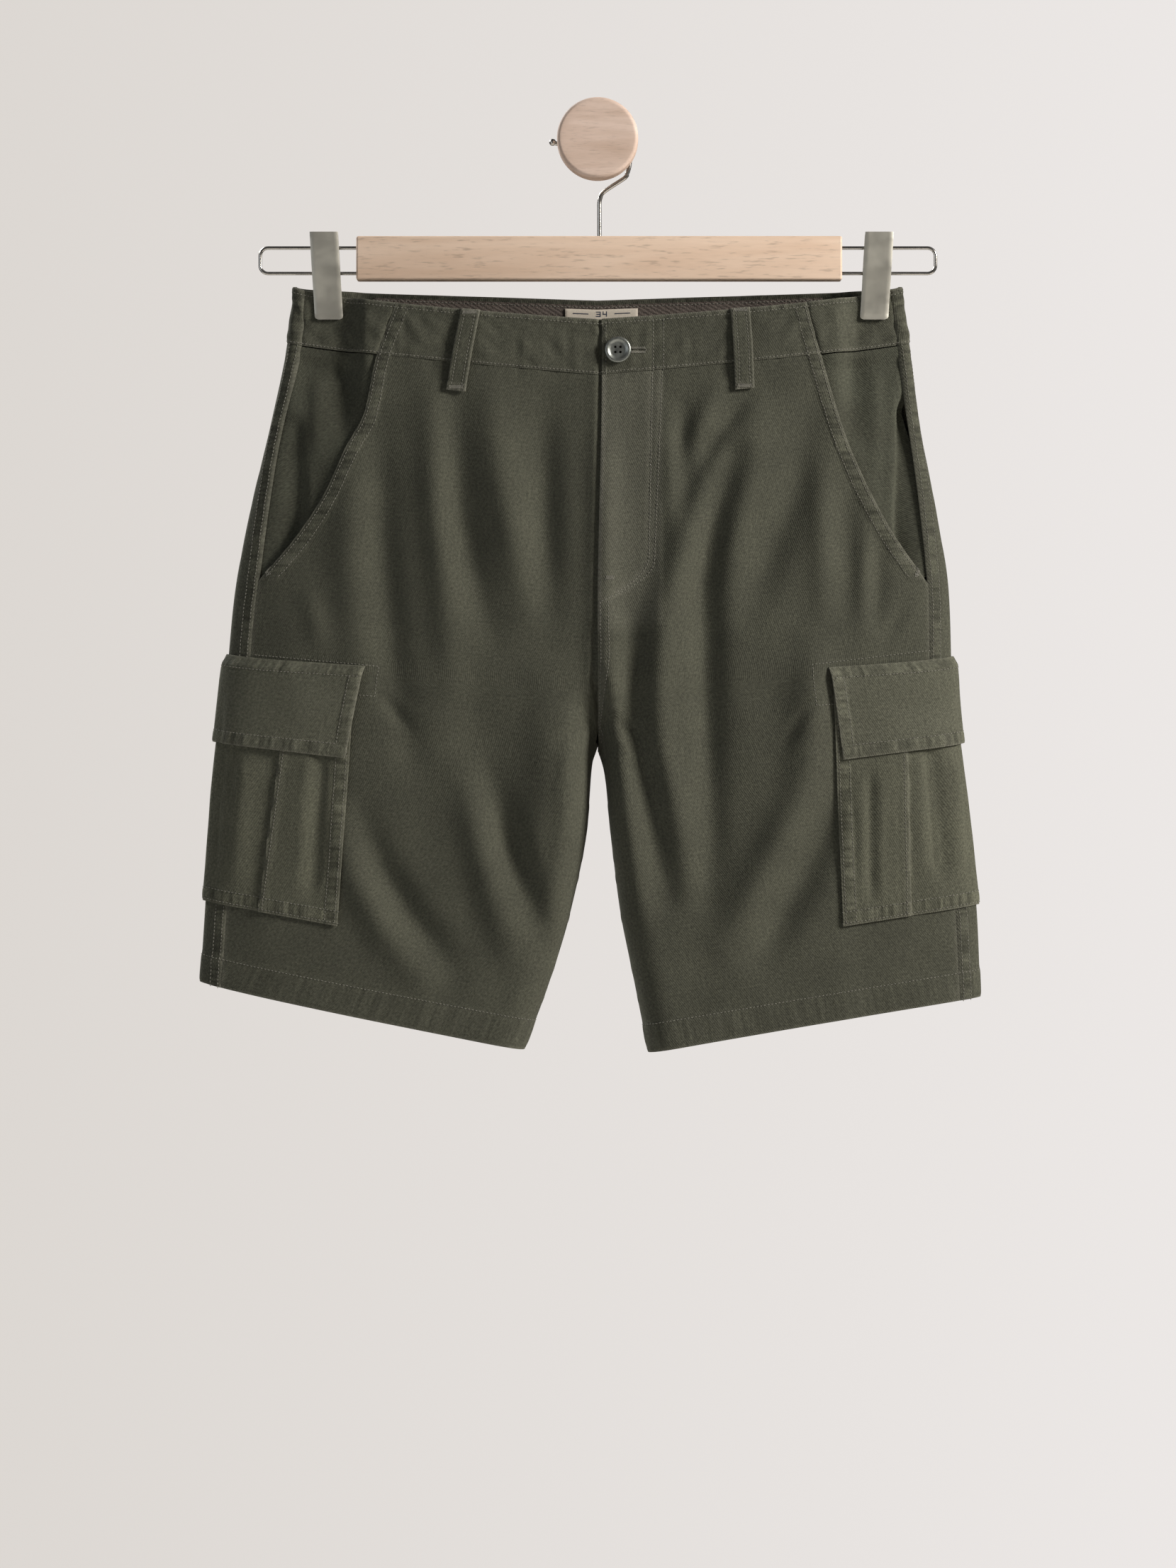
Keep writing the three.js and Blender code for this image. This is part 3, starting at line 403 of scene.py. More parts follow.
def ramp(tree, value, stops):
    node = addNode(tree, "ShaderNodeValToRGB", None, {"Fac": value})
    elements = node.color_ramp.elements
    while len(elements) < len(stops):
        elements.new(0.5)
    for element, (place, colour) in zip(elements, stops):
        element.position = place
        element.color = colour
    return node.outputs["Color"]


def grey(value):
    return (value, value, value, 1.0)


def twillMaterial(name, look):
    # Garment-dyed cotton twill: matt, softly mottled by the dye, worn pale along raised seams and folds, with
    # painted shade and highlight on the puckers of its sewn edges.
    material, tree, shader = newMaterial(name)
    uv = addNode(tree, "ShaderNodeUVMap", {"uv_map": "cloth"}).outputs["UV"]  # UV is in millimetres
    wear = addNode(tree, "ShaderNodeAttribute", {"attribute_name": "wear"}).outputs["Fac"]
    sewn = addNode(tree, "ShaderNodeAttribute", {"attribute_name": "sewn"}).outputs["Fac"]
    along = addNode(tree, "ShaderNodeAttribute", {"attribute_name": "along"}).outputs["Fac"]
    across = addNode(tree, "ShaderNodeMath", {"operation": "MULTIPLY"}, {0: sewn, 1: 2.5})
    seamPlace = addNode(tree, "ShaderNodeCombineXYZ", None, {"X": along, "Y": across.outputs["Value"]})
    rope = addNode(tree, "ShaderNodeTexNoise", None, {"Vector": seamPlace.outputs["Vector"],
                                                      "Scale": 1 / look["pucker"], "Detail": 1.0})
    cloud = addNode(tree, "ShaderNodeTexNoise", None,
                    {"Vector": uv, "Scale": 1 / look["cloud"], "Detail": 3.0})
    fleck = addNode(tree, "ShaderNodeTexNoise", None,
                    {"Vector": uv, "Scale": 1 / look["fleck"], "Detail": 2.0, "Roughness": 0.75})
    slub = addNode(tree, "ShaderNodeMapping", None, {"Vector": uv, "Scale": (1 / 2.2, 1 / 14.0, 1.0)})
    streak = addNode(tree, "ShaderNodeTexNoise", None,
                     {"Vector": slub.outputs["Vector"], "Scale": 1.0, "Detail": 2.0})
    base = ramp(tree, cloud.outputs["Fac"], [(0.3, srgb(look["deep"])), (0.7, srgb(look["colour"]))])
    speck = ramp(tree, fleck.outputs["Fac"], [(0.3, grey(0.66)), (0.5, grey(1.0)), (0.72, grey(1.42))])
    lines = ramp(tree, streak.outputs["Fac"], [(0.3, grey(0.93)), (0.7, grey(1.07))])
    tinted = mixColour(tree, "MULTIPLY", 1.0, base, speck)
    tinted = mixColour(tree, "MULTIPLY", 1.0, tinted, lines)
    patch = addNode(tree, "ShaderNodeMath", {"operation": "MULTIPLY_ADD"},
                    {0: fleck.outputs["Fac"], 1: 1.1, 2: 0.05})
    worn = addNode(tree, "ShaderNodeMath", {"operation": "MULTIPLY", "use_clamp": True},
                   {0: wear, 1: patch.outputs["Value"]})
    # Painted shade in the pucker troughs and painted highlight on their crests, from the same noise as the pucker
    # bump, where the cloth is sewn.
    puckerShadeAndHighlight = ramp(tree, rope.outputs["Fac"], [(0.34, grey(0.66)), (0.5, grey(1.0)), (0.66, grey(1.32))])
    tinted = mixColour(tree, "MULTIPLY", sewn, tinted, puckerShadeAndHighlight)
    colour = mixColour(tree, "MIX", worn.outputs["Value"], tinted, srgb(look["worn"]))
    tree.links.new(colour, shader.inputs["Base Color"])
    shader.inputs["Roughness"].default_value = look["roughness"]
    shader.inputs["Specular IOR Level"].default_value = 0.25
    shader.inputs["Sheen Weight"].default_value = look["sheen"]
    shader.inputs["Sheen Roughness"].default_value = 0.5
    shader.inputs["Sheen Tint"].default_value = srgb(look["worn"])
    turn = addNode(tree, "ShaderNodeMapping", None,
                   {"Vector": uv, "Rotation": (0, 0, math.radians(look["angle"]))})
    rib = addNode(tree, "ShaderNodeTexWave", {"bands_direction": "X", "wave_profile": "SIN"},
                  {"Vector": turn.outputs["Vector"], "Scale": 1 / look["rib"] / 3.14, "Distortion": 0.6,
                   "Detail": 1.0, "Detail Scale": 2.0})
    height = addNode(tree, "ShaderNodeMath", {"operation": "MULTIPLY_ADD"},
                     {0: rib.outputs["Fac"], 1: 0.35, 2: fleck.outputs["Fac"]})
    ridge = addNode(tree, "ShaderNodeMath", {"operation": "MULTIPLY"}, {0: rope.outputs["Fac"], 1: sewn})
    total = addNode(tree, "ShaderNodeMath", {"operation": "MULTIPLY_ADD"},
                    {0: ridge.outputs["Value"], 1: 3.0, 2: height.outputs["Value"]})
    relief = addNode(tree, "ShaderNodeBump", None,
                     {"Height": total.outputs["Value"], "Strength": look["bump"], "Distance": 0.0006})
    tree.links.new(relief.outputs["Normal"], shader.inputs["Normal"])
    return material


def mixColour(tree, blend, factor, first, second):
    node = addNode(tree, "ShaderNodeMix", {"data_type": "RGBA", "blend_type": blend})
    for socket, value in zip((node.inputs[0], node.inputs[6], node.inputs[7]), (factor, first, second)):
        if isinstance(value, bpy.types.NodeSocket):
            tree.links.new(value, socket)
        else:
            socket.default_value = value
    return node.outputs[2]


clothLook = {"colour": "#4b4c41", "deep": "#44453b", "worn": "#828176", "cloud": 38.0, "fleck": 1.9,
             "pucker": 3.6, "roughness": 0.88, "sheen": 0.12, "rib": 1.4, "angle": 27.0, "bump": 0.5}
clothMaterial = twillMaterial("garmentDyedTwill", clothLook)
# The pocket facing is the same twill painted a little darker, as painted shade for its place deep in the pocket
# mouth.
shadedFacingMaterial = twillMaterial("pocketTwill", {**clothLook, "colour": "#494b40", "deep": "#404137"})
# The pockets and flaps are a paler copy of the twill.
cargoMaterial = twillMaterial("cargoTwill", {**clothLook, "colour": "#56574a", "deep": "#4f5044"})
flapMaterial = twillMaterial("flapTwill", {**clothLook, "colour": "#58594d", "deep": "#525347"})
tapeLook = {"colour": "#5d554f", "deep": "#534c47", "worn": "#8a827c", "rib": 2.6, "angle": 62.0, "bump": 1.0,
            "fleck": 1.1}  # herringbone, drawn coarser than it is so that its ribs show
tapeMaterial = twillMaterial("waistTape", {**clothLook, **tapeLook})


def plainMaterial(name, colour, roughness, metallic=0.0, noise=0.08, size=3.0):
    # A smooth made surface with slight unevenness; size is the unevenness in millimetres.
    material, tree, shader = newMaterial(name)
    place = addNode(tree, "ShaderNodeTexCoord").outputs["Object"]
    grain = addNode(tree, "ShaderNodeTexNoise", None, {"Vector": place, "Scale": 1000 / size, "Detail": 3.0})
    tone = ramp(tree, grain.outputs["Fac"], [(0.3, grey(1 - noise)), (0.7, grey(1 + noise))])
    tree.links.new(mixColour(tree, "MULTIPLY", 1.0, srgb(colour), tone), shader.inputs["Base Color"])
    rough = ramp(tree, grain.outputs["Fac"],
                 [(0.3, grey(roughness * 0.85)), (0.7, grey(min(1, roughness * 1.15)))])
    tree.links.new(rough, shader.inputs["Roughness"])
    shader.inputs["Metallic"].default_value = metallic
    return material


# Cotton-wrapped polyester thread; nickel plate, bright on wire and satin on the clips; a grey cast alloy;
# a cream woven label with a dark thread in its weave.
threadMaterial = plainMaterial("topstitchThread", "#74736a", 0.8, noise=0.2, size=6.0)
wireMaterial = plainMaterial("nickelPlatedWire", "#c9c6c0", 0.22, 1.0)
clipMaterial = plainMaterial("satinNickelPlate", "#c6c4b9", 0.45, 0.75, noise=0.05, size=14.0)
buttonMaterial = plainMaterial("castAlloyButton", "#969a95", 0.38, 0.9, noise=0.12, size=2.5)
labelMaterial = plainMaterial("wovenLabel", "#c9c1b3", 0.9, noise=0.1, size=0.8)
printMaterial = plainMaterial("navyWeft", "#2b3346", 0.85, noise=0.15, size=0.8)


# Meshes

def addObject(name, data):
    thing = bpy.data.objects.new(name, data)
    bpy.context.scene.collection.objects.link(thing)
    return thing


def makeObject(name, vertices, faces, material, uv=None, fields=None, sharp=55.0):
    mesh = bpy.data.meshes.new(name)
    mesh.from_pydata((np.asarray(vertices) * mm).tolist(), [], np.asarray(faces).tolist())
    if uv is not None:
        layer = mesh.uv_layers.new(name="cloth")
        loops = np.zeros(len(mesh.loops), dtype=np.int32)
        mesh.loops.foreach_get("vertex_index", loops)
        layer.data.foreach_set("uv", np.asarray(uv, np.float32)[loops].ravel())
    for key, values in (fields or {}).items():
        attribute = mesh.attributes.new(key, "FLOAT", "POINT")
        attribute.data.foreach_set("value", np.asarray(values, np.float32).ravel())
    mesh.polygons.foreach_set("use_smooth", np.ones(len(mesh.polygons), dtype=bool))
    mesh.set_sharp_from_angle(angle=math.radians(sharp))
    mesh.materials.append(material)
    return addObject(name, mesh)


def signedVolume(vertices, faces):
    a, b, c, d = (vertices[faces[:, k]] for k in range(4))
    return np.einsum("ij,ij->", a, np.cross(b, c)) + np.einsum("ij,ij->", a, np.cross(c, d))


def wallObject(name, face, back, material, uv, fields, sharp=55.0):
    # A closed wall between two grids of points.
    rows, columns = face.shape[:2]
    index = np.arange(rows * columns).reshape(rows, columns)
    inner = index + rows * columns
    quads = lambda g: np.stack([g[:-1, :-1], g[1:, :-1], g[1:, 1:], g[:-1, 1:]], axis=-1).reshape(-1, 4)
    rim = lambda a, b: np.stack([a[:-1], a[1:], b[1:], b[:-1]], axis=-1)
    faces = np.concatenate([
        quads(index), quads(inner)[:, ::-1], rim(index[0], inner[0]), rim(inner[-1], index[-1]),
        rim(inner[:, 0], index[:, 0]), rim(index[:, -1], inner[:, -1])])
    vertices = np.concatenate([face.reshape(-1, 3), back.reshape(-1, 3)])
    if signedVolume(vertices, faces) < 0:
        faces = faces[:, ::-1]
    fields = {key: np.concatenate([values, values]) for key, values in fields.items()}
    return makeObject(name, vertices, faces, material, np.concatenate([uv, uv]), fields, sharp)


clothPieces = {}  # name: its sheet, and its face's points and normals


thinnest = 0.6  # the wall under the deepest dents


def makeCloth(name, sheet, out, wall, material=clothMaterial, inward=False):
    # The seen face is out plus the sheet's relief, and the wall behind it stays smooth. An inward piece
    # is seen from inside.
    base = np.broadcast_to(np.asarray(out, float), sheet.u.shape)
    if inward:
        face, back = sheet.points(base - wall - sheet.relief), sheet.points(base)
    else:
        face = sheet.points(base + sheet.relief)
        back = sheet.points(np.minimum(base + sheet.relief - thinnest, base - wall))
    shift = 137.0 * len(clothPieces)  # no two pieces show the same part of the pattern
    uv = np.stack([sheet.u + shift, sheet.v + 0.37 * shift], axis=-1).reshape(-1, 2)
    fields = {"wear": np.clip(sheet.wear, 0, 1).reshape(-1), "sewn": np.clip(sheet.sewn, 0, 1).reshape(-1),
              "along": sheet.along.reshape(-1)}
    thing = wallObject(name + "_cloth", face, back, material, uv, fields)
    normal = np.cross(np.gradient(face, axis=1), np.gradient(face, axis=0))
    normal /= np.linalg.norm(normal, axis=-1, keepdims=True) + 1e-9
    if np.einsum("ijk,ijk->", normal, face - back) < 0:
        normal = -normal
    clothPieces[name] = {"sheet": sheet, "face": face, "normal": normal}
    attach(thing, "root")
    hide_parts(name)
    return clothPieces[name]


# Sewing: relief along seams, and stitch lines read off a piece's finished face.

seamKeys = ("width", "lines", "lift", "pucker", "wave", "wear", "rope")  # in mm, but wear and rope are shares; rope sets the puckers' bump and their painted shade and highlight
seams = {name: dict(zip(seamKeys, row)) for name, row in {
    "slant": (9.5, (2.2, 9.0), 0.6, 0.5, 3.6, 0.7, 1.15),
    "hem": (21.0, (20.5,), 0.6, 0.24, 6.5, 0.4, 0.5),
    "side": (9.0, (), 0.5, 0.28, 5.0, 0.4, 1.0),
    "centreBack": (8.5, (2.2, 8.2), 0.4, 0.3, 4.4, 0.3, 1.0),
    "bandTop": (4.2, (3.6,), 0.35, 0.35, 2.6, 0.75, 1.0),
    "bandSlant": (9.5, (2.2, 9.0), 0.35, 0.3, 4.0, 0.5, 1.0),
    "bandEnd": (3.6, (3.0,), 0.3, 0.3, 3.0, 0.7, 1.0),
    "bandSide": (9.0, (), 0.3, 0.2, 5.0, 0.3, 1.0),
    "pocketSide": (9.5, (2.0, 9.6), 0.2, 0.3, 4.5, 0.5, 1.0),
    "pocketBottom": (10.5, (2.0, 10.2), 0.2, 0.38, 5.0, 0.55, 1.0),
    "flapTop": (8.0, (8.0,), 0.2, 0.4, 2.8, 0.3, 1.0),
    "flapBottom": (9.0, (9.0,), 0.3, 0.4, 4.2, 0.7, 1.0),
    "flapSide": (9.0, (9.0,), 0.3, 0.4, 4.6, 0.7, 1.0),
}.items()}


def sewnEdge(sheet, distance, along, seamName, seed, mask=1.0):
    # Raises the folded cloth along an edge, dents it under each stitch line and ripples it between them; its sewn
    # share also sets the painted shade and highlight on the puckers.
    width, lines, lift, pucker, wave, wear, rope = (seams[seamName][key] for key in seamKeys)
    along = np.broadcast_to(np.asarray(along, float), distance.shape)
    band = fallOff(distance, width - 0.4, width + 1.4)
    ripple = latticeNoise(along, distance, wave, 30.0, seed)
    middle = smoothStep(distance, 0.0, width * 0.3) * fallOff(distance, width * 0.85, width * 1.3)
    sheet.relief += (lift * band + pucker * ripple * middle) * mask
    for line in lines:
        sheet.relief -= 0.32 * bump(distance, line, 1.1) * mask
    sheet.relief -= 0.45 * fallOff(distance, 0, 1.1) * mask
    rim = fallOff(distance, 0.4, 1.8)
    crest = np.clip(ripple, 0, 1) * band
    sheet.wear += wear * (0.8 * rim + 0.25 * crest) * mask
    # The rope share sets how strongly the material bumps the puckers and paints shade and highlight on them.
    strength = rope * (0.3 + 0.55 * middle) * band * mask
    sheet.along = np.where(strength > sheet.sewn, along + 61.7 * seed, sheet.along)
    sheet.sewn = np.maximum(sheet.sewn, strength)


def edgeDistance(sheet, atEnd):
    # Real distance from the side edge, which runs slantwise across the rows.
    points = clothPoint(sheet.leg, sheet.rounds[:, -1 if atEnd else 0], sheet.rows[:, 0], 0.0)
    dx, dz = np.gradient(points[:, 0]), np.gradient(points[:, 2])
    share = np.abs(dz) / np.hypot(dx, dz)
    return (sheet.uEnd if atEnd else sheet.u) * share[:, None]


stitchLines = {}  # piece name: list of point lists


def addLine(piece, points):
    stitchLines.setdefault(piece, []).append(np.asarray(points))


def lineDown(name, distances, top=None, bottom=None, lift=0.12):
    # A stitch line down the piece, where the given distance field equals a value on each row.
    piece = clothPieces[name]
    field, value = distances
    points = []
    for j in range(field.shape[0]):
        v = piece["sheet"].v[j, 0]
        if (top is not None and v < top) or (bottom is not None and v > bottom):
            continue
        order = np.argsort(field[j])
        if not field[j][order[0]] <= value <= field[j][order[-1]]:
            continue
        at = np.interp(value, field[j][order], order.astype(float))
        points.append(samplePiece(piece, j, at, lift))
    if len(points) > 2:
        addLine(name, points)


def lineAcross(name, value, start=0.0, end=None, fromEnd=False, lift=0.12):
    # A stitch line across the piece at v millimetres below its top, or above its bottom.
    piece = clothPieces[name]
    sheet = piece["sheet"]
    v = sheet.vEnd[:, 0] if fromEnd else sheet.v[:, 0]
    order = np.argsort(v)
    j = np.interp(value, v[order], order.astype(float))
    low = int(np.clip(math.floor(j), 0, len(v) - 2))
    t = j - low
    u = sheet.u[low] * (1 - t) + sheet.u[low + 1] * t
    points = []
    for i in range(len(u)):
        if u[i] < start or (end is not None and sheet.uEnd[low, i] < end):
            continue
        points.append(samplePiece(piece, j, float(i), lift))
    addLine(name, points)


def samplePiece(piece, j, i, lift):
    face, normal = piece["face"], piece["normal"]
    j = min(max(j, 0), face.shape[0] - 1.001)
    i = min(max(i, 0), face.shape[1] - 1.001)
    a, b, s, t = int(j), int(i), j - int(j), i - int(i)
    weights = [(a + da, b + db, (s if da else 1 - s) * (t if db else 1 - t))
               for da in (0, 1) for db in (0, 1)]
    point = sum(face[r, c] * w for r, c, w in weights)
    out = sum(normal[r, c] * w for r, c, w in weights)
    return point + lift * out / np.linalg.norm(out)


def lineThrough(name, corners, lift=0.12, spacing=2.0):
    # A stitch line on a front piece through [x, z] points, laid on the face.
    piece = clothPieces[name]
    path = []
    for (ax, az), (bx, bz) in zip(corners, corners[1:]):
        count = max(2, int(math.dist((ax, az), (bx, bz)) / spacing))
        path += [(ax + (bx - ax) * k / count, az + (bz - az) * k / count) for k in range(count)]
    path.append(corners[-1])
    xs, zs = np.array(path).T
    rows = rowAt(xs, zs)
    sheetRows = piece["sheet"].rows[:, 0]
    points = []
    for x, row in zip(xs, rows):
        j = float(np.interp(-row, -sheetRows, np.arange(len(sheetRows))))
        line = piece["face"][int(round(min(j, len(sheetRows) - 1))), :, 0]
        order = np.argsort(line)
        i = float(np.interp(x, line[order], order.astype(float)))
        points.append(samplePiece(piece, j, i, lift))
    addLine(name, points)


# Panels

centreLines = (2.2, 8.4)  # the centre seam's two lines
flyLines = (41.0, 48.8)  # the fly's two lines on the waistband, from the middle
buttonhole = {"fromX": 22.0, "toX": 35.2, "z": -156.0, "half": 1.5}


def seamUnder(leg, rows):
    return 4.0 * smoothStep(leg.inner(rows), 0.0, -6.0) if leg.side < 0 else np.zeros(len(rows))


def frontPanel(leg):
    rows = rowsBetween(garment["bandSeam"] - 2 * halfGap, leg.hem, garment["step"])
    above = smoothStep(rows, garment["flyEndZ"] - 6, garment["flyEndZ"] + 8)
    under = seamUnder(leg, rows) * (0.6 + 0.4 * above)  # the right panel runs on under the left one
    start = roundAt(leg, centreStart(leg, rows, False) - under, rows, 0)
    end = roundAt(leg, pocketEdgeX(leg, rows) - halfGap, rows, 0)
    sheet = Sheet(leg, rows, start, end, garment["step"])
    points = sheet.points(0.0)
    x, z = leg.side * points[..., 0], points[..., 2]
    onPocket = smoothStep(z, garment["pocketEndZ"] - 4, garment["pocketEndZ"] + 4)
    slant = edgeDistance(sheet, True)
    sewnEdge(sheet, slant, z, "slant", 21, onPocket)
    sewnEdge(sheet, sheet.vEnd, sheet.u, "hem", 31)
    ripple = latticeNoise(sheet.u, sheet.v, 6.5, 22, 41)
    sheet.relief += 0.3 * ripple * fallOff(sheet.v, 4, 16)
    inseam = smoothStep(garment["flyEndZ"] - 90 - sheet.rows, 0, 10)
    sheet.relief += 0.35 * latticeNoise(sheet.u, z, 12, 7.5, 42) * fallOff(sheet.u, 2, 14) * inseam
    sheet.wear += 0.3 * fallOff(sheet.uEnd, 0.5, 3) * (1 - onPocket)
    if leg.side < 0:
        tucked = (seamUnder(leg, rows) / 4.0)[:, None]
        sheet.relief -= 2.0 * fallOff(sheet.u, 3.2, 9.5) * tucked
    else:
        placket = fallOff(x, 46, 49)
        upper = above[:, None]
        sheet.relief += (0.5 * placket + 0.25 * latticeNoise(x, z, 7, 60, 43) * placket) * upper
        sheet.relief -= 0.4 * fallOff(sheet.u, 0, 1.4) * upper
        sheet.relief += 0.3 * latticeNoise(x * 0.3, z, 9, 4.2, 44) * bump(sheet.u, 4, 4) * upper
        sheet.wear += (0.85 * fallOff(sheet.u, 1.2, 4.2) + 0.2 * placket) * upper
        for line in jStitch:
            away = nearLine(jPath(line), x, z)[0]
            sheet.relief -= 0.35 * bump(away, 0, 1.3)
            sheet.wear += 0.16 * bump(away, 0, 2.4)
        below = (1 - upper) * (1 - inseam)
        for away in centreLines:
            sheet.relief -= 0.3 * bump(sheet.u, away, 1.2) * below
        sheet.relief += 0.35 * latticeNoise(sheet.u * 0.3, z, 9, 4.4, 45) * bump(sheet.u, 5.2, 4) * below
        sheet.wear += 0.25 * fallOff(sheet.u, 7, 10) * below
    piece = makeCloth("front_panel_" + leg.name, sheet, 0.0, garment["clothWall"])
    piece["slant"] = slant
    return piece


jStitch = ([(41, -149), (38, -322), (15, -335)], [(48.8, -149), (42, -326), (1, -343)])  # top, bend, end


def jPath(line):
    # The fly's stitch line: down, then round towards the centre seam.
    (topX, topZ), (bendX, bendZ), (endX, endZ) = line
    path = [(topX + (bendX - topX) * t, topZ + (bendZ + 14 - topZ) * t) for t in np.linspace(0, 1, 40)]
    corner = path[-1]
    for t in np.linspace(0.08, 1, 18):
        a, b = (1 - t) ** 2, 2 * t * (1 - t)
        path.append((a * corner[0] + b * bendX + t * t * endX, a * corner[1] + b * bendZ + t * t * endZ))
    return path


def backPanel(leg):
    rows = rowsBetween(garment["bandSeam"] - 2 * halfGap, leg.hem, garment["step"])
    start = roundAt(leg, sideSeamX(leg, rows) + halfGap, rows, 0)
    end = roundAt(leg, centreStart(leg, rows, True) - 0.8 * seamUnder(leg, rows), rows, 0, True)
    sheet = Sheet(leg, rows, start, end, garment["step"])
    z = sheet.points(0.0)[..., 2]
    sewnEdge(sheet, sheet.u, z, "side", 51)
    sewnEdge(sheet, sheet.vEnd, sheet.u, "hem", 52)
    sheet.relief += 0.3 * latticeNoise(sheet.u, sheet.v, 6.5, 22, 53) * fallOff(sheet.v, 4, 16)
    crotch = smoothStep(sheet.rows, leg.hem + 200, leg.hem + 230)
    centre = sheet.uEnd
    if leg.side > 0:
        sewnEdge(sheet, centre, z, "centreBack", 54, crotch)
    else:
        sheet.relief -= 2.0 * fallOff(centre, 2.8, 8.0) * (seamUnder(leg, rows) / 4.0)[:, None]
    return makeCloth("back_panel_" + leg.name, sheet, 0.0, garment["clothWall"])


facing = {"drop": 2.2, "tuck": 8.0, "underBack": 4.0, "gape": 3.0, "gapeZ": -275.0, "gapeSpread": 42.0,
          "top": 0.9}
facingFolds = {  # x, width, depth, top, bottom
    "right": [(208, 5.5, 1.5, -176, -236), (228, 8, -5.0, -205, -318), (191, 7, -3.4, -160, -222),
              (214, 5, 1.0, -245, -300)],
    "left": [(221, 5.5, 1.4, -166, -300), (190, 10, -3.6, -160, -226), (232, 7.5, -9.0, -190, -322),
             (206, 5, 1.2, -170, -250)],
}


def pocketFacing(leg):
    end = float(rowAt(np.array(leg.side * leg.pocketEdge(garment["pocketEndZ"])), garment["pocketEndZ"] + 2))
    rows = rowsBetween(garment["bandSeam"] - facing["top"], end, garment["step"])
    out = -facing["drop"]
    start = roundAt(leg, pocketEdgeX(leg, rows) - facing["tuck"], rows, out)
    finish = roundAt(leg, sideSeamX(leg, rows) + facing["underBack"], rows, out)
    sheet = Sheet(leg, rows, start, finish, garment["step"], out)
    across = sheet.u / sheet.width[:, None]
    gape = facing["gape"] * np.exp(-(((sheet.rows - facing["gapeZ"]) / facing["gapeSpread"]) ** 2))
    sheet.relief = -gape * np.sin(np.pi * across) ** 2
    sheet.relief += 0.25 * latticeNoise(sheet.u, sheet.v, 7, 20, 61) * fallOff(sheet.v, 4, 16)
    points = sheet.points(out)
    x, z = leg.side * points[..., 0], points[..., 2]
    for foldX, foldWidth, depth, top, bottom in facingFolds[leg.name]:
        reach = smoothStep(-z, -top - 6, -top + 12) * fallOff(-z, -bottom - 22, -bottom + 6)
        sheet.relief += depth * bump(x, foldX, foldWidth) * reach
    flush = fallOff(sheet.v, 3, 14) * smoothStep(sheet.u, 8, 12)  # it comes up to the band's seam
    sheet.relief = np.minimum(sheet.relief + 2.2 * flush, 1.8)
    return makeCloth("pocket_facing_" + leg.name, sheet, out, garment["clothWall"], shadedFacingMaterial)


def bandRelief(sheet, seed):
    # Top edge folded over and topstitched; the seam below is puckered.
    sewnEdge(sheet, sheet.v, sheet.u, "bandTop", seed)
    ripple = latticeNoise(sheet.u, sheet.v, 5.5, 26, seed + 5)
    ripple = ripple + 0.5 * latticeNoise(sheet.u, sheet.v, 11, 40, seed + 6)
    sheet.relief += 0.42 * ripple * smoothStep(sheet.v, 4, 9)
    slack = latticeNoise(sheet.u + 0.6 * sheet.v, sheet.v, 9, 13, seed + 7) * smoothStep(sheet.v, 5, 12)
    sheet.relief += 0.85 * slack * smoothStep(sheet.vEnd, 1, 7)
    sheet.relief -= 0.45 * fallOff(sheet.vEnd, 0, 1.5)
    sheet.wear += 0.22 * fallOff(sheet.vEnd, 1, 4)


def bandFront(leg):
    rows = rowsBetween(garment["bandTop"], garment["bandSeam"], garment["fineStep"])
    out = garment["bandProud"]
    seam = np.full(len(rows), garment["bandSeam"])
    under = 3.0 if leg.side < 0 else 0.0
    start = roundAt(leg, centreStart(leg, seam, False) - under, rows, out)
    end = roundAt(leg, pocketEdgeX(leg, rows) - halfGap, rows, out)
    sheet = Sheet(leg, rows, start, end, garment["fineStep"], out)
    bandRelief(sheet, 71)
    points = sheet.points(out)
    x, z = leg.side * points[..., 0], points[..., 2]
    slant = edgeDistance(sheet, True)
    sewnEdge(sheet, slant, z, "bandSlant", 72)
    if leg.side < 0:
        sheet.relief -= 2.0 * fallOff(sheet.u, 3.0, 7.5)
    else:
        sewnEdge(sheet, sheet.u, z, "bandEnd", 73)
        for away in flyLines:
            sheet.relief -= 0.3 * bump(x, away, 1.2)
        slit = bump(z, buttonhole["z"], 0.9) * smoothStep(x, 20, 22) * fallOff(x, 34.5, 36)
        sheet.relief -= 1.0 * slit
    piece = makeCloth("waistband_front_" + leg.name, sheet, out, garment["bandWall"])
    piece["slant"], piece["x"] = slant, x
    return piece


def bandSide(leg):
    rows = rowsBetween(garment["bandTop"], garment["bandSeam"], garment["fineStep"])
    out = garment["bandProud"]
    start = roundAt(leg, pocketEdgeX(leg, rows) + halfGap, rows, out)
    end = roundAt(leg, sideSeamX(leg, rows) - halfGap, rows, out)
    sheet = Sheet(leg, rows, start, end, garment["fineStep"], out)
    bandRelief(sheet, 81)
    sheet.relief -= 0.7 * fallOff(sheet.u, 0, 2.0)
    sheet.relief -= 0.5 * fallOff(sheet.uEnd, 0, 2.0)
    return makeCloth("waistband_side_" + leg.name, sheet, out, garment["bandWall"])


def bandBack():
    rows = rowsBetween(garment["bandTop"], garment["bandSeam"], garment["fineStep"])
    out = garment["bandProud"]
    halves = []
    for leg in (legs["right"], legs["left"]):
        seam = roundAt(leg, sideSeamX(leg, rows) + halfGap, rows, out)
        middle = roundAt(leg, np.zeros(len(rows)), rows, out, True)
        pair = (seam, middle) if leg.side < 0 else (middle, seam)
        halves.append(Sheet(leg, rows, *pair, garment["fineStep"], out))
    sheet = joinSheets(*halves)
    bandRelief(sheet, 91)
    z = sheet.rows
    for edge in (sheet.u, sheet.uEnd):
        sewnEdge(sheet, edge, z, "bandSide", 92)
    return makeCloth("waistband_back", sheet, out, garment["bandWall"])


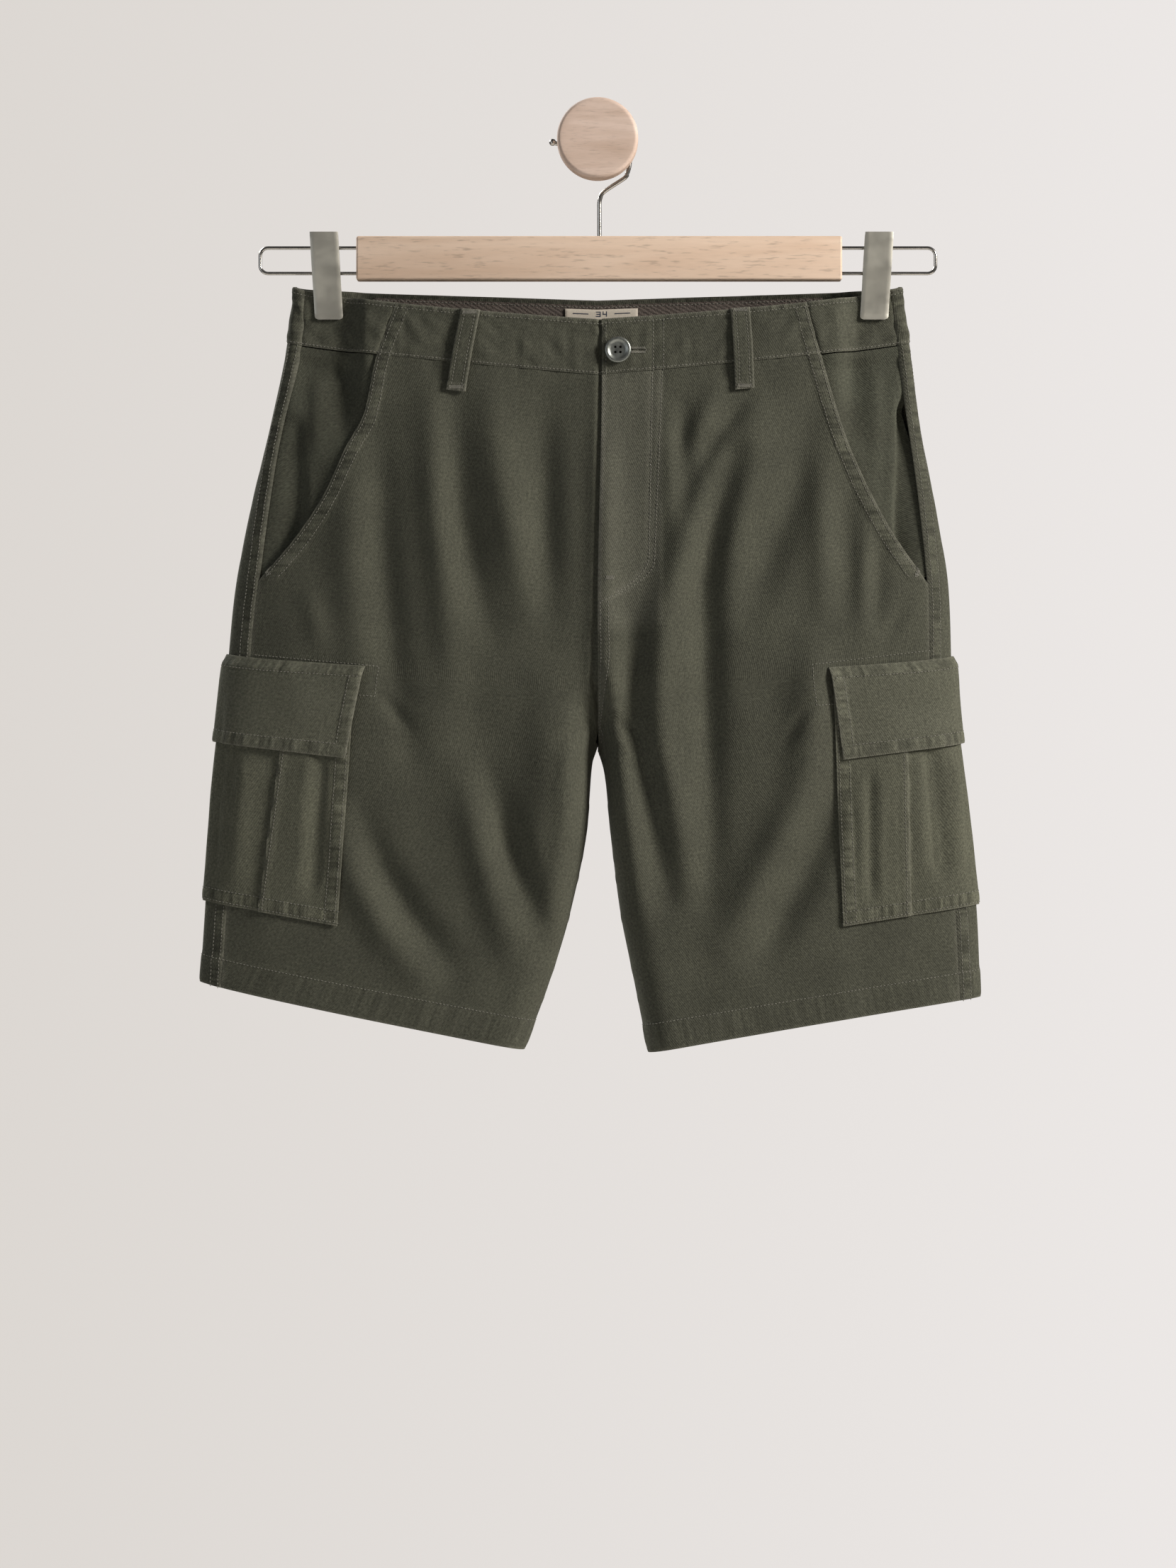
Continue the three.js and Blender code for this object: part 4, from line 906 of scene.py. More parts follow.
def acrossBoth(rows, fromX, toX, out, step, onBack):
    # A sheet from -fromX on the wearer's right to toX on the left; both may vary from row to row.
    zero = np.zeros(len(rows))

    def half(leg, *ends):
        return Sheet(leg, rows, *(roundAt(leg, end + zero, rows, out, onBack) for end in ends), step, out)

    return joinSheets(half(legs["right"], fromX, 0), half(legs["left"], 0, toX))


def flyShield():
    rows = rowsBetween(garment["bandSeam"] - 2 * halfGap, garment["flyEndZ"] + 40, 4.0)
    sheet = acrossBoth(rows, 20 - centreX(rows), 20 + centreX(rows), -3.0, 4.0, False)
    return makeCloth("fly_shield", sheet, -3.0, garment["clothWall"])


for make in (frontPanel, backPanel, pocketFacing, bandFront, bandSide):
    for leg in legs.values():
        make(leg)
bandBack()
flyShield()
print("panels and waistband made")


# Cargo pockets and flaps

cargo = {
    "right": {"top": -391.0, "bottom": -563.5, "flapTop": -380.5, "flapBottom": -445.5, "flapFrontTop": 173.0,
              "flapFrontBottom": 187.0, "frontTop": 180.0, "frontBottom": 193.0, "backReach": 66.0,
              "bulge": 2.4, "pleat": 0.43, "edgeTop": (236.7, -460), "edgeBottom": (251.4, -567), "edgeDrop": 2.0},
    "left": {"top": -392.5, "bottom": -566.5, "flapTop": -382.0, "flapBottom": -446.5, "flapFrontTop": 172.0,
             "flapFrontBottom": 182.0, "frontTop": 174.5, "frontBottom": 182.0, "backReach": 66.0,
             "bulge": 3.1, "pleat": 0.46, "edgeTop": (230.1, -453), "edgeBottom": (232.2, -566), "edgeDrop": 1.2},
}
pleat = {"depth": 2.2, "width": 0.045, "flapRise": 8.0, "step": 1.6, "flatTurn": 0.3}
pocketFolds = {  # x, width, depth, top, bottom, slant in millimetres over the fold's height
    "right": [(204.5, 5.5, -2.4, -452, -566, 7), (214, 5.5, 1.2, -452, -562, 8),
              (262, 7.0, 1.8, -455, -560, 5), (272, 5.0, -1.2, -450, -500, 3)],
    "left": [(249, 6.4, -4.4, -446, -556, 9), (239, 5.0, 1.0, -455, -560, 2), (267, 6.0, 1.6, -455, -548, 3),
             (202, 3.6, -1.7, -468, -572, 1), (209, 3.6, 0.8, -465, -572, 1),
             (190, 3.0, -1.0, -490, -560, 2)],
}


def pocketLift(leg, size, across, down):
    row = size["top"] + (size["bottom"] - size["top"]) * down
    start = roundAt(leg, size["frontTop"] + (size["frontBottom"] - size["frontTop"]) * down, row, 0)
    end = roundAt(leg, leg.outer(row) - size["backReach"], row, 0, True)
    fade = smoothStep(np.abs(start + (end - start) * across - 1), 0, pleat["flatTurn"])
    puff = size["bulge"] * fade * np.sin(np.pi * across) * np.sin(np.pi * np.minimum(1, 0.25 + 0.75 * down))
    fold = pleat["depth"] * np.exp(-(((across - size["pleat"]) / pleat["width"]) ** 2))
    fold = fold * smoothStep(down, 0, 0.3) * (1 - 0.5 * smoothStep(down, 0.8, 1))
    return np.maximum(0.3, 0.9 + puff - fold * np.sin(np.pi * across))


def cargoPocket(leg):
    size = cargo[leg.name]
    rows = rowsBetween(size["top"], size["bottom"], pleat["step"])
    down = (rows - size["top"]) / (size["bottom"] - size["top"])
    front = size["frontTop"] + (size["frontBottom"] - size["frontTop"]) * down
    start = roundAt(leg, front, rows, 3.0)
    end = roundAt(leg, leg.outer(rows) - size["backReach"], rows, 3.0, True)
    sheet = Sheet(leg, rows, start, end, pleat["step"], 3.0)
    across = (sheet.rounds - start[:, None]) / (end - start)[:, None]
    out = pocketLift(leg, size, across, down[:, None]) + 1.5
    points = sheet.points(out)
    x, z = leg.side * points[..., 0], points[..., 2]
    sewnEdge(sheet, sheet.u, z, "pocketSide", 101)
    sewnEdge(sheet, sheet.uEnd, z, "pocketSide", 102)
    sewnEdge(sheet, sheet.vEnd, sheet.u, "pocketBottom", 103)
    deep = smoothStep(sheet.v, 30, 60) * smoothStep(sheet.vEnd, 6, 30)
    inFront = smoothStep(1 - sheet.rounds, 0.0, 0.06)
    for foldX, foldWidth, depth, top, bottom, slant in pocketFolds[leg.name]:
        t = np.clip((z - top) / (bottom - top), 0, 1)
        reach = smoothStep(-z, -top - 4, -top + 14) * fallOff(-z, -bottom - 26, -bottom) * inFront
        sheet.relief += depth * bump(x, foldX + slant * t, foldWidth) * reach
    (topX, topZ), (bottomX, bottomZ) = size["edgeTop"], size["edgeBottom"]
    beyond = x - topX - (bottomX - topX) * (topZ - z) / (topZ - bottomZ)  # past the pleat's stitched edge
    under = smoothStep(beyond, -0.4, 1.0) * fallOff(beyond, 3, 24)
    strip = smoothStep(beyond, -7, -5.4) * fallOff(beyond, -0.6, 0.4)
    sheet.relief += (0.45 * strip - size["edgeDrop"] * under) * inFront
    sheet.wear += (0.35 * bump(beyond, -0.4, 0.9) + 0.1 * strip) * inFront
    soft = 0.7 * latticeNoise(sheet.u, sheet.v, 22, 70, 105)
    soft = soft + 0.5 * latticeNoise(sheet.u, sheet.v, 12, 30, 106)
    sheet.relief += soft * deep * smoothStep(sheet.u, 10, 24) * smoothStep(sheet.uEnd, 10, 24)
    sheet.relief = np.maximum(sheet.relief, 0.4 - out)
    piece = makeCloth("cargo_pocket_" + leg.name, sheet, out, 1.2, cargoMaterial)
    piece["pleat"] = beyond
    return piece


def cargoFlap(leg):
    size = cargo[leg.name]
    rows = rowsBetween(size["flapTop"], size["flapBottom"], garment["fineStep"])
    down = (rows - size["flapTop"]) / (size["flapBottom"] - size["flapTop"])
    front = size["flapFrontTop"] + (size["flapFrontBottom"] - size["flapFrontTop"]) * down
    start = roundAt(leg, front, rows, 5.0)
    end = roundAt(leg, leg.outer(rows) - size["backReach"] - 3, rows, 5.0, True)
    sheet = Sheet(leg, rows, start, end, garment["fineStep"], 5.0)
    across = (sheet.rounds - start[:, None]) / (end - start)[:, None]
    under = np.clip((size["top"] - rows) / (size["top"] - size["bottom"]), 0, 1)[:, None]
    lift = pocketLift(leg, size, across, under) + 2.7
    rise = smoothStep(-rows, -size["flapTop"], pleat["flapRise"] - size["flapTop"])[:, None]
    out = 0.5 + (lift - 0.5) * rise + 1.5
    z = sheet.points(out)[..., 2]
    sewnEdge(sheet, sheet.v, sheet.u, "flapTop", 111)
    sewnEdge(sheet, sheet.vEnd, sheet.u, "flapBottom", 112)
    for k, edge in enumerate((sheet.u, sheet.uEnd)):
        sewnEdge(sheet, edge, z, "flapSide", 113 + k)
    sheet.relief += 0.6 * latticeNoise(sheet.u, sheet.v, 26, 34, 116) * smoothStep(sheet.v, 8, 20)
    return makeCloth("cargo_flap_" + leg.name, sheet, out, 1.6, flapMaterial)


for make in (cargoPocket, cargoFlap):
    for leg in legs.values():
        make(leg)
print("cargo pockets made")


# Belt loops, tape and label

beltLoops = [
    {"name": "belt_loop_front_right", "back": False, "topX": -94.0, "bottomX": -105.0, "bottom": -171.0},
    {"name": "belt_loop_front_left", "back": False, "topX": 105.7, "bottomX": 109.0, "bottom": -170.0},
    {"name": "belt_loop_back_right", "back": True, "topX": -118.0, "bottomX": -122.0, "bottom": -166.0},
    {"name": "belt_loop_back_centre", "back": True, "topX": 0.0, "bottomX": 0.0, "bottom": -166.0},
    {"name": "belt_loop_back_left", "back": True, "topX": 118.0, "bottomX": 122.0, "bottom": -166.0},
]
loopSize = {"half": 7.0, "wall": 1.8, "bulge": 2.2, "step": 0.9}


def beltLoop(loop):
    rows = rowsBetween(garment["bandTop"] + 0.4, loop["bottom"], loopSize["step"])
    down = (rows - rows[0]) / (rows[-1] - rows[0])
    middle = loop["topX"] + (loop["bottomX"] - loop["topX"]) * down
    out = garment["bandProud"] + 0.3 + loopSize["bulge"] * np.sin(np.pi * down)[:, None] + loopSize["wall"]
    if loop["topX"] == 0:
        sheet = acrossBoth(rows, loopSize["half"], loopSize["half"], 3.0, loopSize["step"], loop["back"])
    else:
        leg = legs["right" if loop["topX"] < 0 else "left"]
        near, far = (roundAt(leg, np.abs(middle) + side, rows, 3.0, loop["back"])
                     for side in (-loopSize["half"], loopSize["half"]))
        sheet = Sheet(leg, rows, near, far, loopSize["step"], 3.0)
    for edge in (sheet.u, sheet.uEnd):
        sheet.relief -= 0.5 * fallOff(edge, 0, 1.0) + 0.25 * bump(edge, 3.2, 0.7)
        sheet.wear += 0.5 * fallOff(edge, 0.3, 1.6)
    sheet.relief += 0.2 * latticeNoise(sheet.u, sheet.v, 5, 4, 121)
    for edge in (sheet.v, sheet.vEnd):
        sheet.relief += 0.7 * fallOff(edge, 5, 7) - 0.5 * fallOff(edge, 0, 1.0)
        sheet.wear += 0.7 * fallOff(edge, 0.3, 2.0) + 0.15 * fallOff(edge, 5, 7)
    return makeCloth(loop["name"], sheet, out, loopSize["wall"])


tapeSize = {"halfWidth": 168.0, "top": -110.5, "bottom": -146.0, "wall": 1.0, "out": -2.7}
labelSize = {"fromX": -24.0, "toX": 30.0, "top": -113.5, "bottom": -140.0, "wall": 0.8, "out": -4.3}


def waistTape():
    rows = rowsBetween(tapeSize["top"], tapeSize["bottom"], 2.0)
    sheet = acrossBoth(rows, tapeSize["halfWidth"], tapeSize["halfWidth"], tapeSize["out"], 2.0, True)
    sheet.relief += 0.25 * latticeNoise(sheet.u, sheet.v, 7, 18, 131)
    makeCloth("waist_tape", sheet, tapeSize["out"], tapeSize["wall"], tapeMaterial, inward=True)


for loop in beltLoops:
    beltLoop(loop)
waistTape()
print("belt loops and tape made")


def sizeLabel():
    # Woven label with a generic print: a plain number between two dashes.
    rows = rowsBetween(labelSize["top"], labelSize["bottom"], 1.0)
    sheet = acrossBoth(rows, -labelSize["fromX"], labelSize["toX"], labelSize["out"], 1.0, True)
    edge = np.minimum(np.minimum(sheet.u, sheet.uEnd), np.minimum(sheet.v, sheet.vEnd))
    sheet.relief -= 0.4 * fallOff(edge, 0, 1.5)
    sheet.wear += fallOff(edge, 0.5, 2.0)
    makeCloth("size_label", sheet, labelSize["out"], labelSize["wall"], labelMaterial, inward=True)


sizeLabel()


# Topstitching. Lines are read off the finished faces, and one node tree lays a thread along them.

# Pitch, length and thickness are a little coarser than real thread's, so that it shows.
stitch = {"pitch": 2.7, "length": 2.0, "thickness": 0.62, "tackPitch": 0.75, "tackLength": 1.5,
          "tackThickness": 0.5, "tackWidth": 2.2, "tackStep": 0.55}


def bandLines(name):
    lineAcross(name, 3.6)
    lineAcross(name, 1.7, fromEnd=True)


def panelLines(leg):
    front, back, band = (name + leg.name for name in ("front_panel_", "back_panel_", "waistband_front_"))
    for away in seams["slant"]["lines"]:
        lineDown(front, (clothPieces[front]["slant"], away), bottom=172)
    for away in (2.2, 8.2):
        lineDown(back, (clothPieces[back]["sheet"].u, away))
    for panel in (front, back):
        lineAcross(panel, *seams["hem"]["lines"], fromEnd=True)
    for away in seams["bandSlant"]["lines"]:
        lineDown(band, (clothPieces[band]["slant"], away), top=4)
    bandLines(band)
    bandLines("waistband_side_" + leg.name)


def cargoLines(leg):
    pocket, flap = "cargo_pocket_" + leg.name, "cargo_flap_" + leg.name
    sheet = clothPieces[pocket]["sheet"]
    for away in seams["pocketSide"]["lines"]:
        lineDown(pocket, (sheet.u, away), bottom=sheet.v.max() - 2)
        lineDown(pocket, (sheet.uEnd, away), bottom=sheet.v.max() - 2)
    for away in seams["pocketBottom"]["lines"]:
        lineAcross(pocket, away, fromEnd=True)
    pleatEdge = np.where(sheet.rounds < 1, clothPieces[pocket]["pleat"], 1e3)  # in front only
    lineDown(pocket, (pleatEdge, -3.4), top=40, bottom=sheet.v.max() - 2)
    sheet = clothPieces[flap]["sheet"]
    lineAcross(flap, 8.0, start=1.5, end=1.5)
    lineAcross(flap, 9.0, start=9, end=9, fromEnd=True)
    for edge in (sheet.u, sheet.uEnd):
        lineDown(flap, (edge, 8.6), top=8, bottom=sheet.v.max() - 9)


for leg in legs.values():
    panelLines(leg)
    cargoLines(leg)
bandLines("waistband_back")
for line in jStitch:
    lineThrough("front_panel_left", jPath(line)[2:])
for away in flyLines:
    lineDown("waistband_front_left", (clothPieces["waistband_front_left"]["x"], away), top=4)
lineDown("waistband_front_left", (clothPieces["waistband_front_left"]["sheet"].u, 3.0), top=3)
for away in centreLines:
    lineDown("front_panel_left", (clothPieces["front_panel_left"]["sheet"].u, away), top=172, bottom=250)
    lineDown("back_panel_left", (clothPieces["back_panel_left"]["sheet"].uEnd, away), bottom=245)
lineThrough("front_panel_right", [(-253.8, -381.5), (-162, -390.2), (-165, -412.3), (-184, -411)])
lineThrough("front_panel_left", [(246, -378.2), (158.5, -389), (161.4, -419.3), (176, -418)])
for loop in beltLoops:
    sheet = clothPieces[loop["name"]]["sheet"]
    for edge in (sheet.u, sheet.uEnd):
        lineDown(loop["name"], (edge, 3.2), top=2, bottom=sheet.v.max() - 2)
for away in (1.6, 33.0):
    lineAcross("waist_tape", away)
topstitchLines, stitchLines = stitchLines, {}


def zigzag(path, width, step):
    # Turns a path of [x, z] points into a close zigzag along it.
    points = []
    for (ax, az), (bx, bz) in zip(path, path[1:]):
        length = math.dist((ax, az), (bx, bz))
        dx, dz = (bx - ax) / length, (bz - az) / length
        for k in range(int(length / step)):
            side = width / 2 * (1 if k % 2 else -1)
            points.append((ax + dx * k * step - dz * side, az + dz * k * step + dx * side))
    return points


def tack(name, path, width=None):
    lineThrough(name, zigzag(path, width or stitch["tackWidth"], stitch["tackStep"]), lift=0.2, spacing=4.0)


tack("front_panel_left", [(6, -325), (13, -325)])
tack("front_panel_right", [(-248.5, -316), (-243.5, -323)])
tack("front_panel_left", [(240, -317), (235.5, -324)])
loopTacks = {"belt_loop_front_right": [(-94.5, -128), (-104.5, -183.5)],
             "belt_loop_front_left": [(105.9, -126), (108.9, -182.5)]}
for name, places in loopTacks.items():
    for x, z in places:
        tack(name, [(x - 5.5, z), (x + 5.5, z)])
start, end, slitZ, half = buttonhole.values()
ring = [(start, slitZ + half), (end, slitZ + half)]
ring += [(end + 1.6 * math.sin(a), slitZ + half * math.cos(a)) for a in np.linspace(0.4, math.pi - 0.4, 5)]
ring += [(end, slitZ - half), (start, slitZ - half)]
tack("waistband_front_left", ring, 1.5)
tackLines = stitchLines


def threadTree():
    # Lays a small rounded thread, turned along the line, at every pitch.
    tree = bpy.data.node_groups.new("sewingThread", "GeometryNodeTree")
    tree.is_modifier = True
    tree.interface.new_socket("Lines", in_out="INPUT", socket_type="NodeSocketGeometry")
    keys = {}
    for name in ("Pitch", "Length", "Thickness", "Thread"):
        kind = "NodeSocketMaterial" if name == "Thread" else "NodeSocketFloat"
        keys[name] = tree.interface.new_socket(name, in_out="INPUT", socket_type=kind).identifier
    tree.interface.new_socket("Threads", in_out="OUTPUT", socket_type="NodeSocketGeometry")
    given = addNode(tree, "NodeGroupInput").outputs
    curve = addNode(tree, "GeometryNodeMeshToCurve", None, {"Mesh": given["Lines"]})
    even = addNode(tree, "GeometryNodeResampleCurve", {"mode": "LENGTH"},
                   {"Curve": curve.outputs["Curve"], "Length": given["Pitch"]})
    ball = addNode(tree, "GeometryNodeMeshUVSphere", None, {"Segments": 6, "Rings": 4, "Radius": 0.5})
    size = addNode(tree, "ShaderNodeCombineXYZ", None,
                   {"X": given["Length"], "Y": given["Thickness"], "Z": given["Thickness"]})
    thread = addNode(tree, "GeometryNodeTransform", None,
                     {"Geometry": ball.outputs["Mesh"], "Scale": size.outputs["Vector"]})
    smooth = addNode(tree, "GeometryNodeSetShadeSmooth", None, {"Geometry": thread.outputs["Geometry"]})
    tangent = addNode(tree, "GeometryNodeInputTangent")
    turn = addNode(tree, "FunctionNodeAlignRotationToVector", {"axis": "X"},
                   {"Vector": tangent.outputs["Tangent"]})
    laid = addNode(tree, "GeometryNodeInstanceOnPoints", None,
                   {"Points": even.outputs["Curve"], "Instance": smooth.outputs["Geometry"],
                    "Rotation": turn.outputs["Rotation"]})
    real = addNode(tree, "GeometryNodeRealizeInstances", None, {"Geometry": laid.outputs["Instances"]})
    dyed = addNode(tree, "GeometryNodeSetMaterial", None, {"Geometry": real.outputs["Geometry"],
                                                           "Material": given["Thread"]})
    addNode(tree, "NodeGroupOutput", None, {"Threads": dyed.outputs["Geometry"]})
    return tree, keys


def layThread(name, lines, pitch, length, thickness):
    tree, keys = threadTree()
    points, edges = [], []
    for line in (line for group in lines.values() for line in group):
        edges += [(len(points) + k, len(points) + k + 1) for k in range(len(line) - 1)]
        points += (line * mm).tolist()
    mesh = bpy.data.meshes.new(name)
    mesh.from_pydata(points, edges, [])
    path = addObject(name + "_lines", mesh)
    modifier = path.modifiers.new("thread", "NODES")
    modifier.node_group = tree
    for key, value in (("Pitch", pitch * mm), ("Length", length * mm), ("Thickness", thickness * mm),
                       ("Thread", threadMaterial)):
        modifier[keys[key]] = value
    done = bpy.data.meshes.new_from_object(path.evaluated_get(bpy.context.evaluated_depsgraph_get()))
    path.modifiers.remove(modifier)
    bpy.data.objects.remove(path)
    threads = addObject(name, done)
    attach(threads, "root")
    print(name, len(done.polygons), "faces")


layThread("topstitch_thread", topstitchLines, stitch["pitch"], stitch["length"], stitch["thickness"])
layThread("tack_thread", tackLines, stitch["tackPitch"], stitch["tackLength"], stitch["tackThickness"])


# The label's print is generic: a plain number between two dashes.

labelPrint = {"strokes": [[(-18, 3.4), (-7, 3.4)], [(13, 3.4), (24, 3.4)],  # from the middle, and depth
                          [(-0.6, 1.8), (1.9, 1.8), (1.9, 5.0), (-0.6, 5.0)], [(-0.2, 3.4), (1.9, 3.4)],
                          [(4.1, 1.8), (4.1, 3.5), (6.6, 3.5)], [(6.6, 1.8), (6.6, 5.0)],
                          [(-14, 13.5), (20, 13.5)]],
              "width": 0.65, "lift": 0.12}


def labelMarks():
    piece = clothPieces["size_label"]
    face = piece["face"]
    row, column = face[:, 0, 2], face[0, :, 0]
    vertices, faces = [], []
    for stroke in labelPrint["strokes"]:
        for (ax, ad), (bx, bd) in zip(stroke, stroke[1:]):
            half = labelPrint["width"] / 2 / math.dist((ax, ad), (bx, bd))
            dx, dd = (bx - ax) * half, (bd - ad) * half
            corners = [(ax - dx - dd, ad - dd + dx), (bx + dx - dd, bd + dd + dx),
                       (bx + dx + dd, bd + dd - dx), (ax - dx + dd, ad - dd - dx)]
            start = len(vertices)
            for lift in (labelPrint["lift"], -0.1):
                for x, depth in corners:
                    i = float(np.interp(x, np.sort(column), np.argsort(column).astype(float)))
                    j = depth / abs(row[-1] - row[0]) * (len(row) - 1)
                    vertices.append(tuple(samplePiece(piece, j, i, lift)))
            faces += [(start, start + 1, start + 2, start + 3), (start + 7, start + 6, start + 5, start + 4)]
            for k in range(4):
                n = (k + 1) % 4
                faces.append((start + k, start + 4 + k, start + 4 + n, start + n))
    marks = makeObject("label_print", vertices, faces, printMaterial, sharp=30.0)
    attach(marks, "root")


labelMarks()
print("sewing and label made")


# The waist button, four-hole, cast alloy.

button = {"x": 15.0, "z": -156.0, "radius": 9.8, "height": 3.0, "hole": 0.95, "spacing": 1.9, "segments": 64,
          "profile": [(0, 0.55), (0.3, 0.55), (0.52, 0.58), (0.62, 0.66), (0.7, 0.82), (0.76, 0.96),
                      (0.83, 1), (0.9, 0.98), (0.96, 0.86), (1, 0.6), (0.99, 0.4), (0.9, 0.16), (0.7, 0), (0, 0)]}


def lathe(profile, segments):
    # Spins [radius, y] points round the Y axis; a radius of zero closes the end.
    vertices, faces, rings = [], [], []
    for radius, y in profile:
        if radius < 1e-6:
            rings.append([len(vertices)])
            vertices.append((0.0, y, 0.0))
            continue
        rings.append(list(range(len(vertices), len(vertices) + segments)))
        turns = [2 * math.pi * k / segments for k in range(segments)]
        vertices += [(radius * math.cos(turn), y, radius * math.sin(turn)) for turn in turns]
    for a, b in zip(rings, rings[1:]):
        for k in range(segments):
            n = (k + 1) % segments
            if len(a) == 1:
                faces.append((a[0], b[n], b[k]))
            elif len(b) == 1:
                faces.append((a[k], a[n], b[0]))
            else:
                faces.append((a[k], a[n], b[n], b[k]))
    return vertices, faces


def solidMesh(name, vertices, faces, move=(0, 0, 0)):
    mesh = bpy.data.meshes.new(name)
    mesh.from_pydata([tuple((p + q) * mm for p, q in zip(point, move)) for point in vertices], [], faces)
    work = bmesh.new()
    work.from_mesh(mesh)
    bmesh.ops.recalc_face_normals(work, faces=work.faces)
    work.to_mesh(mesh)
    work.free()
    return mesh


def finishSolid(name, mesh, material, node, sharp=35.0):
    mesh.polygons.foreach_set("use_smooth", np.ones(len(mesh.polygons), dtype=bool))
    mesh.set_sharp_from_angle(angle=math.radians(sharp))
    mesh.materials.clear()
    mesh.materials.append(material)
    thing = addObject(name, mesh)
    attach(thing, "root")
    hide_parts(node)


# Wires: a round section swept along points, with its ends closed.

def tube(points, radius, sides):
    points = [Vector(p) for p in points]
    vertices, faces = [], []
    side = None
    for i, point in enumerate(points):
        ahead = points[min(i + 1, len(points) - 1)] - points[max(i - 1, 0)]
        ahead.normalize()
        if side is None:
            side = ahead.cross(Vector((0, 1, 0)))
            if side.length < 1e-3:
                side = ahead.cross(Vector((1, 0, 0)))
        side = (side - ahead * side.dot(ahead)).normalized()
        up = ahead.cross(side)
        for k in range(sides):
            angle = 2 * math.pi * k / sides
            vertices.append(tuple(point + (side * math.cos(angle) + up * math.sin(angle)) * radius))
    for i in range(len(points) - 1):
        for k in range(sides):
            a, b = i * sides + k, i * sides + (k + 1) % sides
            faces.append((a, b, b + sides, a + sides))
    faces.append(tuple(range(sides))[::-1])
    faces.append(tuple(range((len(points) - 1) * sides, len(points) * sides)))
    return vertices, faces


def arc(cx, cz, radius, start, end, steps):
    angles = np.radians(np.linspace(start, end, steps + 1))
    return [(cx + radius * math.cos(a), cz + radius * math.sin(a)) for a in angles]


def smoothPath(points, step):
    # A rounded line through [x, z] points, evenly spaced.
    points = [np.array(p, float) for p in points]
    path = []
    ends = [2 * points[0] - points[1]] + points + [2 * points[-1] - points[-2]]
    for a, b, c, d in zip(ends, ends[1:], ends[2:], ends[3:]):
        count = max(1, int(np.linalg.norm(c - b) / step))
        for k in range(count):
            t = k / count
            path.append(0.5 * ((2 * b) + (c - a) * t + (2 * a - 5 * b + 4 * c - d) * t * t
                               + (3 * b - a - 3 * c + d) * t**3))
    path.append(points[-1])
    return [(p[0], garment["midY"], p[1]) for p in path]


bar = {"fromX": -179.4, "toX": 181.8, "top": -69.8, "bottom": -102.4, "depth": 14.0, "round": 1.6}
wires = {"z": (-78.0, -97.0), "radius": 1.3, "endX": {"right": -252.6, "left": 253.0}, "corner": 6.0}
hook = {"radius": 1.6, "x": 1.4, "bendZ": -40.7, "arcZ": -13.0, "arcRadius": 24.0, "tipX": -33.4, "tipZ": 0.7,
        "ball": 2.6}
knob = {"radius": 30.0, "front": -57.0, "back": -38.0, "edge": 3.0, "stem": 9.0}


def hangerBar():
    # Sawn beech bar with softly rounded edges.
    work = bmesh.new()
    bmesh.ops.create_cube(work, size=1.0)
    size = (bar["toX"] - bar["fromX"], bar["depth"], bar["top"] - bar["bottom"])
    centre = ((bar["toX"] + bar["fromX"]) / 2, garment["midY"], (bar["top"] + bar["bottom"]) / 2)
    for vertex in work.verts:
        vertex.co = Vector([(c + v * d) * mm for c, v, d in zip(centre, vertex.co, size)])
    bmesh.ops.bevel(work, geom=work.edges[:], offset=bar["round"] * mm, segments=4, profile=0.5,
                    affect="EDGES")
    mesh = bpy.data.meshes.new("hanger_bar")
    work.to_mesh(mesh)
    work.free()
    finishSolid("bar_beech", mesh, beechMaterial, "hanger_bar")


def hangerHook():
    points = [(hook["x"], bar["top"] + 0.3), (hook["x"], hook["bendZ"] - 10), (hook["x"], hook["bendZ"] - 4),
              (hook["x"] + 0.7, hook["bendZ"]), (hook["x"] + 3.4, hook["bendZ"] + 4.6)]
    points += arc(0, hook["arcZ"], hook["arcRadius"], -32, 152, 24)
    points += [(hook["tipX"] + 5.5, hook["tipZ"] - 1.6), (hook["tipX"], hook["tipZ"])]
    vertices, faces = tube(smoothPath(points, 1.2), hook["radius"], 20)
    ball, ballFaces = lathe([(hook["ball"] * math.sin(a), -hook["ball"] * math.cos(a))
                             for a in np.linspace(0, math.pi, 17)], 24)
    offset = len(vertices)
    vertices += [(x + hook["tipX"], y + garment["midY"], z + hook["tipZ"]) for x, y, z in ball]
    faces += [tuple(i + offset for i in face) for face in ballFaces]
    finishSolid("hook_wire", solidMesh("hook_wire", vertices, faces), wireMaterial, "hanger_hook")


def endLoop(name):
    way = -1 if name == "right" else 1
    barEnd = bar["fromX"] - 0.3 if name == "right" else bar["toX"] + 0.3
    top, bottom = wires["z"]
    cornerX = way * (abs(wires["endX"][name]) - wires["radius"] - wires["corner"])
    corner = wires["corner"]
    bends = arc(0, top - corner, corner, 90, 0, 8) + arc(0, bottom + corner, corner, 0, -90, 8)
    points = [(barEnd, top)] + [(cornerX + way * x, z) for x, z in bends] + [(barEnd, bottom)]
    vertices, faces = tube([(x, garment["midY"], z) for x, z in points], wires["radius"], 20)
    mesh = solidMesh("loop", vertices, faces)
    finishSolid("loop_wire_" + name, mesh, wireMaterial, "end_loop_" + name)


clip = {"width": 21.0, "top": -67.0, "bottom": -132.0, "plate": 1.4, "grip": 4.6, "open": 8.3,
        "shoulder": -101.0, "lean": 1.9, "corner": 2.6, "chamfer": 0.9, "springRadius": 7.9, "springZ": -87.5,
        "springLength": 15.0, "springWire": 0.7, "turns": 9}


